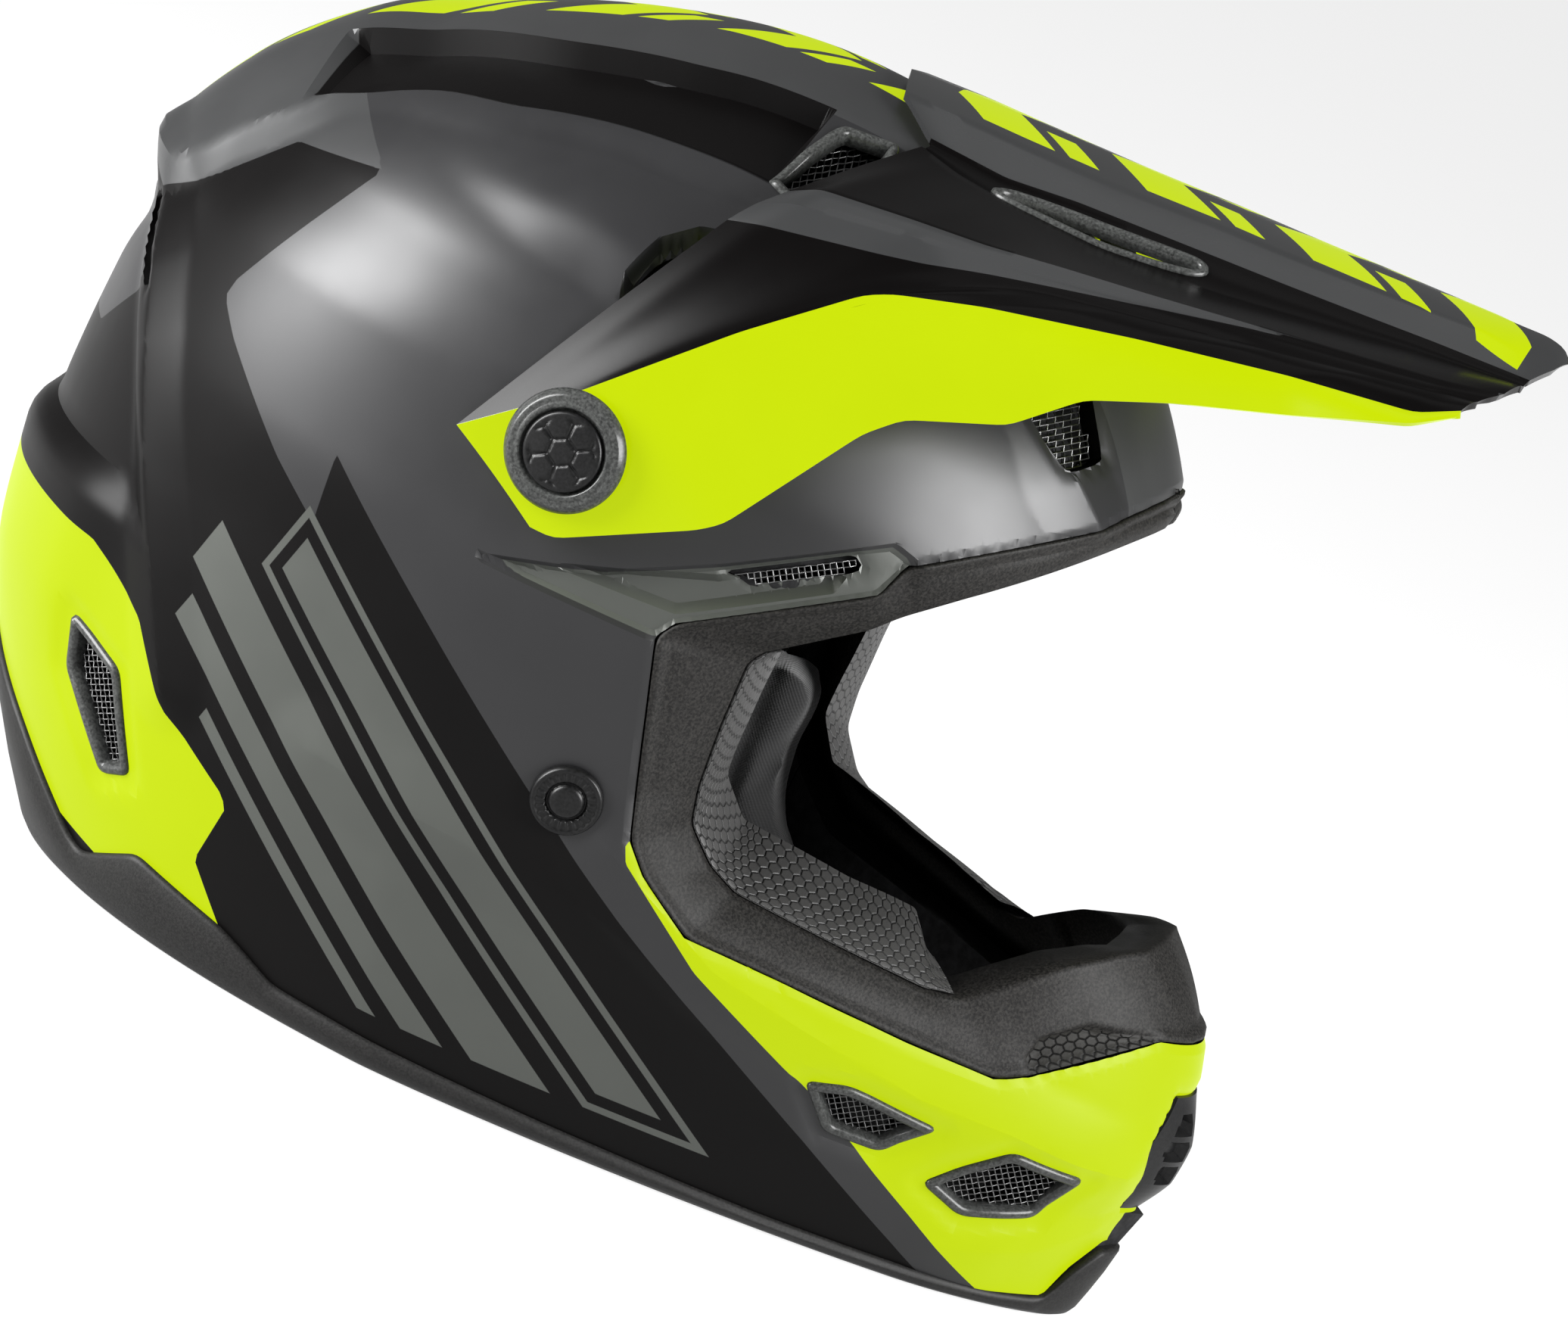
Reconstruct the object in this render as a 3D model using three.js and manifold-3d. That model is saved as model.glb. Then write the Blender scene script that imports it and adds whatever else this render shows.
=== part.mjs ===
// Motocross helmet, in millimetres, standing on the rim of its base trim.
// Everything is drawn with +X to the wearer's right, +Y forward and +Z up, and the
// finished group is turned half round, so that the helmet's front faces -Y.
// The base trim's underside is the plane z = 0.

import * as THREE from "three";
import { mergeVertices } from "three/addons/utils/BufferGeometryUtils.js";
import Module from "manifold-3d";

const wasm = await Module();
wasm.setup();

// ---------------------------------------------------------------- driving dimensions

const shellWall = 4; // moulded shell
const fitGap = 0.4; // between pieces that seat on each other
const trimProud = 1.5; // rubber stands out of the shell by this much
const eyeportTrimDepth = 20; // how far the eyeport gasket reaches in from the shell's skin
const baseTrimDepth = 8; // width of the base trim's resting face
const portPadDepth = 7; // honeycomb pad behind the eyeport gasket
const crownPadThickness = 8;
const cheekPadThickness = 24;
const neckRollThickness = 13;
const meshThickness = 1.2;
const bezelProud = 1.2;
const bezelWidth = 2.2;

const visorWall = 3;
const pivotForward = -23.5; // the visor's tilt axis runs across the helmet here
const pivotUp = 166.5;
const visorOutside = 126.5; // half the width over the visor's ears
const visorHoleRadius = 8;
const bushFlangeRadius = 14;
const bushFlangeThickness = 3.2;
const screwHeadRadius = 9.6;
const screwShankRadius = 3;
const shankClearance = 0.4;
const insertRadius = 5;
const insertFlangeRadius = 8.5;

const bracketRadius = 114; // the centre bracket is an arc about the tilt axis
const bracketThickness = 2.4;
const bracketWidth = 26;
const bracketAngle = 50; // degrees above the horizon, seen from the tilt axis
const bracketAhead = 9.5; // the arc's reach in front of the screw and behind it, in degrees
const bracketBehind = 10;
const travelUp = 6; // degrees that the peak tilts up and down
const travelDown = 1.2;
const centreHeadRadius = 7;

const rivetForward = 8; // chin strap anchor
const rivetUp = 87;
const rivetShankRadius = 3;
const rivetCapRadius = 8.8;
const strapWidth = 24;
const strapThickness = 2;
const ringWire = 1.6; // half the D-ring's thickness, and of its bar
const ringInside = 26; // the D-ring's inside width

const around = 24; // points round each ring of a lofted skin
const noseRound = 0.28; // how far the front of a ring is blunted, as a share of its half width

// ---------------------------------------------------------------- skins as stacked rings

// One ring: height, rearmost and foremost point, half width, where it is widest,
// and how square its rear and front halves are (2 is an ellipse, 1 is a wedge).
const ring = (up, rear, front, half, widest, rearSquare, frontSquare) => ({
  up,
  rear,
  front,
  half,
  widest,
  rearSquare,
  frontSquare,
});

const shellRings = [
  ring(-40, -110, 140, 76, -15, 2.3, 1.35),
  ring(0, -134, 163, 92, -15, 2.3, 1.35),
  ring(25, -151, 171, 100, -20, 2.3, 1.35),
  ring(50, -164, 174, 106, -25, 2.25, 1.4),
  ring(80, -171, 163, 112, -30, 2.2, 1.5),
  ring(110, -174, 145, 117, -38, 2.15, 1.7),
  ring(140, -173, 128, 121, -45, 2.1, 1.9),
  ring(170, -165, 114, 121, -48, 2.1, 2.05),
  ring(195, -152, 100, 113, -45, 2.1, 2.1),
  ring(215, -134, 86, 99, -40, 2.1, 2.1),
  ring(232, -112, 69, 80, -34, 2.1, 2.1),
  ring(246, -85, 48, 58, -28, 2.1, 2.1),
  ring(256, -55, 24, 35, -20, 2.1, 2.1),
  ring(260, -32, 4, 16, -14, 2.1, 2.1),
];
const shellHeights = [-30, 6, 30, 60, 92, 124, 156, 184, 208, 230, 246, 256, 260];
const shellCentre = { forward: 0, up: 110 };

const cavityRings = [
  ring(-40, -100, 122, 66, -20, 2.3, 1.6),
  ring(0, -104, 130, 70, -20, 2.3, 1.6),
  ring(40, -114, 140, 76, -25, 2.2, 1.6),
  ring(80, -126, 128, 80, -30, 2.2, 1.8),
  ring(110, -131, 110, 81, -35, 2.1, 2.0),
  ring(140, -132, 94, 81, -35, 2.1, 2.1),
  ring(170, -126, 80, 77, -32, 2.1, 2.1),
  ring(195, -112, 63, 66, -30, 2.1, 2.1),
  ring(215, -92, 42, 49, -28, 2.1, 2.1),
  ring(228, -64, 14, 28, -27, 2.1, 2.1),
  ring(233, -42, -12, 12, -26, 2.1, 2.1),
];
const cavityHeights = [-30, 16, 50, 84, 118, 150, 178, 202, 221, 233];
const cavityCentre = { forward: -30, up: 120 };

// Smooth monotone curve through one property of a list of rings.
function follow(rings, property, up) {
  const xs = rings.map((r) => r.up);
  const ys = rings.map((r) => r[property]);
  const last = xs.length - 1;
  const slope = (i) => (ys[i + 1] - ys[i]) / (xs[i + 1] - xs[i]);
  const tangent = (i) => {
    if (i === 0) return slope(0);
    if (i === last) return slope(last - 1);
    const before = slope(i - 1);
    const after = slope(i);
    return before * after > 0 ? (2 * before * after) / (before + after) : 0;
  };
  const inside = xs.findIndex((x) => x >= up);
  const i = Math.max(0, (inside < 0 ? last : inside) - 1);
  const span = xs[i + 1] - xs[i];
  const t = (up - xs[i]) / span;
  const t2 = t * t;
  const t3 = t2 * t;
  return (
    (2 * t3 - 3 * t2 + 1) * ys[i] +
    (t3 - 2 * t2 + t) * span * tangent(i) +
    (3 * t2 - 2 * t3) * ys[i + 1] +
    (t3 - t2) * span * tangent(i + 1)
  );
}

// How much of a ring's side share is used up at a given sine: rounds the pointed front off.
function sideShare(s, square, blunt) {
  const lift = blunt ** square;
  return ((s * s + blunt * blunt) ** (square / 2) - lift) / ((1 + blunt * blunt) ** (square / 2) - lift);
}

// A point on the ring at a height, at an angle from straight ahead.
function ringPoint(rings, up, angle) {
  const at = (property) => follow(rings, property, up);
  const c = Math.cos(angle);
  const s = Math.sin(angle);
  const ahead = c > 0;
  const square = ahead ? at("frontSquare") : at("rearSquare");
  const reach = ahead ? at("front") - at("widest") : at("widest") - at("rear");
  const k = (Math.abs(c) ** square + sideShare(s, square, ahead ? noseRound : 0)) ** (-1 / square);
  return new THREE.Vector3(at("half") * s * k, at("widest") + reach * c * k, up);
}

// A closed solid inside a skin: the stacked rings, drawn in towards the centre by inset.
function skin(rings, heights, centre, inset) {
  const widest = Math.max(...rings.map((r) => r.half));
  const longest = Math.max(...rings.map((r) => Math.max(r.front, -r.rear) + Math.abs(centre.forward)));
  const tallest = rings.at(-1).up - centre.up;
  const shrink = new THREE.Vector3(1 - inset / widest, 1 - inset / longest, 1 - inset / tallest);
  const middle = new THREE.Vector3(0, centre.forward, centre.up);
  const place = (p) => p.sub(middle).multiply(shrink).add(middle);
  const points = heights.flatMap((up) =>
    Array.from({ length: around }, (_, i) => place(ringPoint(rings, up, (i * 2 * Math.PI) / around))),
  );
  const top = rings.at(-1);
  const foot = heights[0];
  const faces = [];
  for (let row = 0; row < heights.length - 1; row++) {
    for (let i = 0; i < around; i++) {
      const a = row * around + i;
      const b = row * around + ((i + 1) % around);
      faces.push(a, a + around, b, b, a + around, b + around);
    }
  }
  const bottomPole = points.push(place(new THREE.Vector3(0, centre.forward, foot))) - 1;
  const topPole = points.push(place(new THREE.Vector3(0, (top.rear + top.front) / 2, top.up + 0.8))) - 1;
  const lastRow = (heights.length - 1) * around;
  for (let i = 0; i < around; i++) {
    const next = (i + 1) % around;
    faces.push(bottomPole, i, next);
    faces.push(topPole, lastRow + next, lastRow + i);
  }
  const geometry = new THREE.BufferGeometry().setFromPoints(points);
  geometry.setIndex(faces);
  return toSolid(geometry);
}

// ---------------------------------------------------------------- solids and geometry

function toSolid(geometry) {
  const bare = geometry.index ? geometry.toNonIndexed() : geometry.clone();
  bare.deleteAttribute("normal");
  bare.deleteAttribute("uv");
  const merged = mergeVertices(bare, 1e-4);
  return new wasm.Manifold(
    new wasm.Mesh({
      numProp: 3,
      vertProperties: merged.attributes.position.array,
      triVerts: new Uint32Array(merged.index.array),
    }),
  );
}

function toGeometry(solid) {
  const mesh = solid.getMesh();
  const geometry = new THREE.BufferGeometry();
  geometry.setAttribute("position", new THREE.BufferAttribute(mesh.vertProperties, 3));
  geometry.setIndex(new THREE.BufferAttribute(mesh.triVerts, 1));
  geometry.computeVertexNormals();
  return geometry;
}

// The largest body of a solid, without slivers that a cut leaves.
function mainBody(solid) {
  return solid.decompose().reduce((a, b) => (a.volume() > b.volume() ? a : b));
}

// ---------------------------------------------------------------- outlines and prisms

// An outline moved inwards by distance, or outwards where it is negative.
function inset(outline, distance) {
  const area = THREE.ShapeUtils.area(outline.map(([x, y]) => new THREE.Vector2(x, y)));
  const turn = Math.sign(area) * distance;
  return outline.map((point, i) => {
    const before = outline[(i + outline.length - 1) % outline.length];
    const after = outline[(i + 1) % outline.length];
    const a = new THREE.Vector2(point[0] - before[0], point[1] - before[1]).normalize();
    const b = new THREE.Vector2(after[0] - point[0], after[1] - point[1]).normalize();
    const normal = new THREE.Vector2(-a.y - b.y, a.x + b.x).normalize();
    const stretch = turn / Math.max(0.4, normal.dot(new THREE.Vector2(-a.y, a.x)));
    return [point[0] + normal.x * stretch, point[1] + normal.y * stretch];
  });
}

// A shape with its corners rounded.
function rounded(outline, radius) {
  const shape = new THREE.Shape();
  const corner = (i) => new THREE.Vector2(...outline[(i + outline.length) % outline.length]);
  outline.forEach((_, i) => {
    const here = corner(i);
    const reach = (other) => Math.min(radius, here.distanceTo(other) * 0.45);
    const from = here.clone().lerp(corner(i - 1), reach(corner(i - 1)) / here.distanceTo(corner(i - 1)));
    const to = here.clone().lerp(corner(i + 1), reach(corner(i + 1)) / here.distanceTo(corner(i + 1)));
    if (i === 0) shape.moveTo(from.x, from.y);
    else shape.lineTo(from.x, from.y);
    shape.quadraticCurveTo(here.x, here.y, to.x, to.y);
  });
  shape.closePath();
  return shape;
}

function prism(outline, radius, depth, corners = 2) {
  const shape = radius ? rounded(outline, radius) : new THREE.Shape(outline.map((p) => new THREE.Vector2(...p)));
  return new THREE.ExtrudeGeometry(shape, { depth, bevelEnabled: false, curveSegments: corners });
}

// A side-view outline, in (forward, up), extruded across the helmet from left to right.
const acrossAxes = new THREE.Matrix4().makeBasis(
  new THREE.Vector3(0, 1, 0),
  new THREE.Vector3(0, 0, 1),
  new THREE.Vector3(1, 0, 0),
);
function across(outline, from = -160, to = 160, radius = 0, corners = 2) {
  const geometry = prism(outline, radius, to - from, corners).applyMatrix4(acrossAxes);
  return toSolid(geometry.translate(from, 0, 0));
}

// A front-view outline, in (right, up), extruded forwards.
const forwardAxes = new THREE.Matrix4().makeBasis(
  new THREE.Vector3(1, 0, 0),
  new THREE.Vector3(0, 0, 1),
  new THREE.Vector3(0, -1, 0),
);
function forwards(outline, from, to, radius = 0) {
  const geometry = prism(outline, radius, to - from).applyMatrix4(forwardAxes);
  return toSolid(geometry.translate(0, to, 0));
}

// A plan-view outline, in (right, forward), extruded upwards.
function upwards(outline, from, to, radius = 0) {
  return toSolid(prism(outline, radius, to - from).translate(0, 0, from));
}

function box(low, high) {
  const size = high.map((v, i) => v - low[i]);
  const middle = high.map((v, i) => (v + low[i]) / 2);
  return toSolid(new THREE.BoxGeometry(...size).translate(...middle));
}

// A turned piece about the X axis through the tilt axis or another point; the profile is
// (radius, distance from the middle plane) and side is 1 for the right, -1 for the left.
const alongAxis = new THREE.Matrix4().makeRotationZ(-Math.PI / 2);
function turnedAcross(profile, side, forward, up, segments = 16) {
  const points = profile.map(([radius, out]) => new THREE.Vector2(radius, out));
  const geometry = new THREE.LatheGeometry(points, segments).applyMatrix4(alongAxis);
  if (side < 0) geometry.applyMatrix4(new THREE.Matrix4().makeRotationZ(Math.PI));
  return toSolid(geometry.translate(0, forward, up));
}

// The skin's point over a side-view position, on the wearer's right.
function skinPoint(forward, up) {
  let low = 0;
  let high = Math.PI;
  for (let i = 0; i < 40; i++) {
    const angle = (low + high) / 2;
    if (ringPoint(shellRings, up, angle).y > forward) low = angle;
    else high = angle;
  }
  return ringPoint(shellRings, up, low);
}

// A turned piece standing square on the skin; heights are measured out from the skin.
function turnedOnSkin(profile, forward, up, segments = 16) {
  const at = skinPoint(forward, up);
  const ahead = skinPoint(forward + 4, up).sub(skinPoint(forward - 4, up));
  const above = skinPoint(forward, up + 4).sub(skinPoint(forward, up - 4));
  const normal = ahead.cross(above).normalize();
  const geometry = new THREE.LatheGeometry(
    profile.map((p) => new THREE.Vector2(...p)),
    segments,
  );
  geometry.applyQuaternion(new THREE.Quaternion().setFromUnitVectors(new THREE.Vector3(0, 1, 0), normal));
  return toSolid(geometry.translate(at.x, at.y, at.z));
}

// ---------------------------------------------------------------- skins in use

const shellSkin = (depth) => skin(shellRings, shellHeights, shellCentre, depth);
const cavitySkin = (depth) => skin(cavityRings, cavityHeights, cavityCentre, depth);

const outside = shellSkin(0);
const shellInside = shellSkin(shellWall);
const linerOutside = shellSkin(shellWall + fitGap);
const cavity = cavitySkin(0);

// ---------------------------------------------------------------- side-view outlines, in (forward, up)

// Where the shell is cut away for the eyeport; the gasket fills from here to gasketEdge.
const portCut = [
  [210, 203],
  [98, 202],
  [88, 192],
  [57, 172],
  [54, 163],
  [15, 138],
  [12, 133],
  [22, 95],
  [25, 84],
  [31, 77],
  [45, 67],
  [68, 65],
  [124, 60],
  [131, 63],
  [155, 80],
  [210, 80],
];
const gasketEdge = [
  [212, 196],
  [100, 195],
  [92, 187],
  [83, 177],
  [60, 157],
  [37, 138],
  [34, 133],
  [36, 89],
  [50, 77],
  [108, 72],
  [113, 74],
  [140, 98],
  [212, 102],
];
const portPadEdge = [
  [125, 150],
  [42, 144],
  [39, 130],
  [42, 93],
  [52, 86],
  [93, 79],
  [125, 88],
];
// Upper edge of the base trim, then round below it.
const baseTrimEdge = [
  [-200, 34],
  [-130, 30],
  [-106, 12],
  [-86, 20],
  [-58, 15],
  [-41, 9],
  [29, 7],
  [87, 6],
  [150, 7],
  [210, 13],
  [210, -60],
  [-200, -60],
];
const cheekPadOutline = [
  [-44, 18],
  [50, 18],
  [58, 50],
  [34, 74],
  [30, 108],
  [-18, 116],
  [-44, 94],
];
const crownPadFloor = [
  [-170, 122],
  [-20, 122],
  [8, 140],
  [52, 164],
  [84, 186],
  [130, 196],
  [130, 270],
  [-170, 270],
];
const neckRollOutline = [
  [-150, 16],
  [-54, 16],
  [-54, 62],
  [-150, 84],
];
const chinLinerSide = [
  [30, -60],
  [30, 108],
  [230, 108],
  [230, -60],
];

// Vents: outline in side view, the span across the helmet that it cuts, and whether it has a bezel.
const vents = {
  rear_vent: {
    outline: [
      [-127, 66],
      [-108, 60],
      [-96, 36],
      [-105, 33],
      [-124, 52],
    ],
    from: 60,
    to: 120,
    bezel: true,
  },
  chin_vent_upper: {
    outline: [
      [84, 43],
      [94, 46],
      [117, 43],
      [106, 30],
      [93, 31],
    ],
    from: 38,
    to: 90,
    bezel: true,
  },
  chin_vent_lower: {
    outline: [
      [119, 27],
      [135, 44],
      [153, 42],
      [147, 27],
      [130, 22],
    ],
    from: 14,
    to: 70,
    bezel: true,
  },
  top_vent: {
    outline: [
      [-17, 236],
      [-11, 251],
      [4, 252],
      [8, 238],
      [-6, 233],
    ],
    from: 30,
    to: 100,
    bezel: true,
  },
  slit_vent: {
    outline: [
      [20, 154],
      [46, 170],
      [49, 167],
      [44, 163],
      [28, 153],
    ],
    from: 85,
    to: 125,
    bezel: false,
  },
  scoop_vent: {
    outline: [
      [-27, 200],
      [-29, 211],
      [-18, 219],
      [-5, 206],
      [-12, 196],
    ],
    from: 85,
    to: 125,
    bezel: false,
  },
  rear_slot: {
    outline: [
      [-158, 158],
      [-152, 164],
      [-142, 147],
      [-148, 142],
    ],
    from: 40,
    to: 100,
    bezel: false,
  },
  brow_vent: {
    outline: [
      [60, 214],
      [72, 220],
      [82, 207],
      [76, 202],
    ],
    from: 40,
    to: 80,
    bezel: false,
  },
};
const ventRadius = 1.5;

// Front centre grille, in (right, up).
const mouthOutline = [
  [-24, 62],
  [-14, 73],
  [14, 73],
  [24, 62],
  [17, 33],
  [-17, 33],
];

// ---------------------------------------------------------------- shell and its rubber

const mirrored = (solid) => solid.mirror([1, 0, 0]);
const bothSides = (solid) => solid.add(mirrored(solid));

function ventCutter(vent, margin) {
  return across(inset(vent.outline, margin), vent.from, vent.to, ventRadius, 1);
}

const belowTrimEdge = across(baseTrimEdge);
const portCutter = across(portCut, -160, 160, 3);

function outerShell() {
  let shell = outside.subtract(shellInside).subtract(belowTrimEdge).subtract(portCutter);
  for (const vent of Object.values(vents)) shell = shell.subtract(bothSides(ventCutter(vent, 0)));
  shell = shell.subtract(forwards(mouthOutline, 120, 220, 3));
  const insertHole = [
    [0, 90],
    [insertRadius + fitGap, 90],
    [insertRadius + fitGap, 140],
    [0, 140],
  ];
  shell = shell.subtract(bothSides(turnedAcross(insertHole, 1, pivotForward, pivotUp)));
  shell = shell.subtract(bothSides(rivetHole()));
  return mainBody(shell.subtract(centreAxisCylinder(screwShankRadius + shankClearance, 80, 130)));
}

function eyeportTrim() {
  const band = shellSkin(-trimProud).subtract(shellSkin(eyeportTrimDepth));
  const frame = across(inset(portCut, fitGap), -160, 160, 3).subtract(across(gasketEdge, -160, 160, 5));
  return mainBody(band.intersect(frame));
}

function portPad() {
  const outer = shellSkin(eyeportTrimDepth + 2 * fitGap);
  const inner = shellSkin(eyeportTrimDepth + 2 * fitGap + portPadDepth);
  const strip = across(inset(portCut, 1)).subtract(across(portPadEdge, -160, 160, 5));
  const reach = box([0, 0, 40], [160, 120, 136]);
  return mainBody(outer.subtract(inner).intersect(strip).intersect(reach));
}

function baseTrim() {
  const band = shellSkin(-trimProud).subtract(shellSkin(baseTrimDepth));
  const strip = across(inset(baseTrimEdge, fitGap)).intersect(box([-160, -220, 0], [160, 220, 60]));
  return mainBody(band.intersect(strip));
}

// ---------------------------------------------------------------- foam and padding

const strapSlotHalf = strapWidth / 2 + 2;
const strapSlotDepth = 2.4;

// Half width inside the shell where the strap's front edge hangs, at a height.
const strapHang = (up) => skinPoint(rivetForward + strapWidth / 2, up).x - shellWall - 3;
const strapTop = [
  [strapHang(rivetUp + 10), rivetUp + 10],
  [strapHang(rivetUp - 14), rivetUp - 14],
  [strapHang(50), 50],
  [strapHang(26), 26],
  [strapHang(26) - 5, 13.5],
  [strapHang(26) - 14, 11],
];

// The whole foam liner with its pockets, before it is split at the chin bar.
function foamLiner() {
  let foam = linerOutside.subtract(cavity);
  foam = foam.subtract(across(inset(baseTrimEdge, -fitGap)));
  foam = foam.subtract(portCutter);
  for (const vent of Object.values(vents)) {
    foam = foam.subtract(bothSides(across(inset(vent.outline, 1), vent.from, vent.to)));
  }
  foam = foam.subtract(forwards(inset(mouthOutline, -fitGap), 120, 220, 3));
  const insertPocket = [
    [0, 104],
    [insertFlangeRadius + 1, 104],
    [insertFlangeRadius + 1, 130],
    [0, 130],
  ];
  foam = foam.subtract(bothSides(turnedAcross(insertPocket, 1, pivotForward, pivotUp, 12)));
  foam = foam.subtract(centreAxisCylinder(insertFlangeRadius + 1, 84, 120));
  // The strap runs down in a slot between shell and foam, and out under the cheek pad.
  const slotOutline = [
    [140, rivetUp + 16],
    [strapTop[0][0] - strapSlotDepth, rivetUp + 16],
    ...strapTop.slice(0, 4).map(([right, up]) => [right - strapSlotDepth, up]),
    [strapTop[3][0] - 8, 18],
    [40, 18],
    [40, 0],
    [140, 0],
  ];
  const slot = forwards(slotOutline, rivetForward - strapSlotHalf, rivetForward + strapSlotHalf);
  foam = foam.subtract(bothSides(slot));
  const rivetPocket = [
    [0, -18],
    [8, -18],
    [8, 0],
    [0, 0],
  ];
  return foam.subtract(bothSides(turnedOnSkin(rivetPocket, rivetForward, rivetUp, 12)));
}

function splitLiner() {
  const foam = foamLiner();
  const chin = foam.intersect(across(chinLinerSide));
  const crown = foam.subtract(across(inset(chinLinerSide, -fitGap)));
  return { crown: mainBody(crown), chin: mainBody(chin) };
}

const padSkin = cavitySkin(2.5 * fitGap);

function crownPad() {
  return mainBody(padSkin.subtract(cavitySkin(crownPadThickness)).intersect(across(crownPadFloor)));
}

function cheekPad() {
  const pad = padSkin.subtract(cavitySkin(cheekPadThickness)).intersect(across(cheekPadOutline, 0, 160, 10, 3));
  return mainBody(pad.intersect(box([10, -60, 0], [160, 80, 130])));
}

function neckRoll() {
  return mainBody(padSkin.subtract(cavitySkin(neckRollThickness)).intersect(across(neckRollOutline, -160, 160, 6)));
}

// ---------------------------------------------------------------- vents

function ventBezel(vent) {
  const band = shellSkin(-bezelProud).subtract(shellSkin(shellWall - 1));
  const ringShape = ventCutter(vent, fitGap).subtract(
    across(inset(vent.outline, fitGap + bezelWidth), vent.from - 5, vent.to + 5, ventRadius, 1),
  );
  return mainBody(band.intersect(ringShape));
}

function ventMesh(vent) {
  const depth = vent.bezel ? shellWall / 2 : shellWall / 2 + 0.4;
  const band = shellSkin(depth).subtract(shellSkin(depth + meshThickness));
  const margin = vent.bezel ? fitGap + bezelWidth + fitGap : fitGap;
  return mainBody(band.intersect(ventCutter(vent, margin)));
}

function mouthGrille() {
  const frame = shellSkin(-2.5).subtract(shellSkin(7));
  const bars = [42, 50, 58, 66].map((up) =>
    forwards(
      [
        [-15, up - 2.2],
        [-15, up + 2.2],
        [15, up + 2.2],
        [15, up - 2.2],
      ],
      120,
      220,
    ),
  );
  let grille = frame.intersect(forwards(inset(mouthOutline, fitGap), 120, 220, 3));
  for (const bar of bars) grille = grille.subtract(bar);
  return mainBody(grille);
}

function mouthMesh() {
  const band = shellSkin(7 + fitGap).subtract(shellSkin(7 + fitGap + meshThickness));
  return mainBody(band.intersect(forwards(inset(mouthOutline, 2.6), 120, 220, 2)));
}

// ---------------------------------------------------------------- visor

// One cross-section of the peak: forward position, then (right, up) of the crown line, the
// raised strip's edge, the foot of its step, the shoulder, the stripe's lower crease, the
// flank and the lower edge.
const visorSections = [
  [-62, [0, 262], [40, 257], [43, 254], [104, 232], [110, 226], [124, 205], [126.5, 138]],
  [-10, [0, 265.5], [40, 260], [43, 256.5], [98, 236], [106, 229], [123, 208], [126.5, 138]],
  [20, [0, 267], [38, 261], [41, 257], [94, 246], [101, 238], [120, 216], [124, 148]],
  [50, [0, 268.5], [37, 262], [40, 258.5], [89, 250], [97, 244], [112, 226], [117, 196]],
  [80, [0, 270], [36, 263.5], [39, 260.5], [84, 253.5], [90, 249], [102, 238], [106, 222]],
  [110, [0, 272], [32, 265], [35, 262.5], [75, 257], [80, 254], [88, 247], [91, 239]],
  [135, [0, 274], [28, 266], [31, 264.5], [64, 258.5], [69, 256.5], [75, 253], [77, 249]],
  [155, [0, 276], [22, 267.5], [25, 266.5], [50, 260.5], [54, 259.5], [58, 258.5], [60, 256.5]],
];
const noseBulge = 14; // the front edge bows forward by this much at its middle
const bulgeFrom = 100;

// Side-view outline that trims the peak's lower and rear edges.
const visorTrim = [
  [-51, 160],
  [-49, 168],
  [-36, 192],
  [-26, 199],
  [-14, 222],
  [-9, 236],
  [-3, 242],
  [8, 254],
  [-12, 259],
  [-12, 300],
  [190, 300],
  [190, 250],
  [155, 256],
  [147, 253],
  [121, 243],
  [97, 235],
  [79, 227],
  [66, 217],
  [44, 207],
  [37, 201],
  [15, 166],
  [10, 162],
  [-18, 146],
  [-26, 147],
];
const visorSlot = [
  [41, 30],
  [56, 42],
  [53, 70],
  [43, 86],
];

// The section's points drawn inwards by the wall, as a polyline of its own.
function innerSection(points, wall) {
  const directions = points.slice(1).map((p, i) => {
    const along = new THREE.Vector2(p[0] - points[i][0], p[1] - points[i][1]).normalize();
    return new THREE.Vector2(along.y, -along.x);
  });
  return points.map((p, i) => {
    const a = directions[Math.max(0, i - 1)];
    const b = i === 0 ? new THREE.Vector2(-a.x, a.y) : directions[Math.min(i, directions.length - 1)];
    const normal = a.clone().add(b).normalize();
    const reach = wall / Math.max(0.5, normal.dot(a));
    return [i === 0 ? 0 : p[0] + normal.x * reach, p[1] + normal.y * reach];
  });
}

function visorSheet() {
  const ordered = visorSections.map(([forward, ...points]) => {
    const inner = innerSection(points, visorWall);
    const left = (list) => list.slice(1).map(([right, up]) => [-right, up]);
    const loop = [...left(points).reverse(), ...points, ...inner.reverse(), ...left(inner.reverse())];
    const edge = points.at(-1)[0];
    const ramp = THREE.MathUtils.smoothstep(forward, bulgeFrom, visorSections.at(-1)[0]);
    return loop.map(([right, up]) => {
      const bow = noseBulge * ramp * Math.max(0, 1 - (right / edge) ** 2);
      return new THREE.Vector3(right, forward + bow, up);
    });
  });
  const count = ordered[0].length;
  const faces = [];
  for (let row = 0; row < ordered.length - 1; row++) {
    for (let i = 0; i < count; i++) {
      const a = row * count + i;
      const b = row * count + ((i + 1) % count);
      faces.push(a, b, a + count, b, b + count, a + count);
    }
  }
  const half = count / 2;
  for (let i = 0; i < half - 1; i++) {
    const j = count - 1 - i;
    faces.push(i, j, i + 1, i + 1, j, j - 1);
    const k = (ordered.length - 1) * count;
    faces.push(k + i, k + i + 1, k + j, k + i + 1, k + j - 1, k + j);
  }
  const geometry = new THREE.BufferGeometry().setFromPoints(ordered.flat());
  geometry.setIndex(faces);
  return toSolid(geometry);
}

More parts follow.
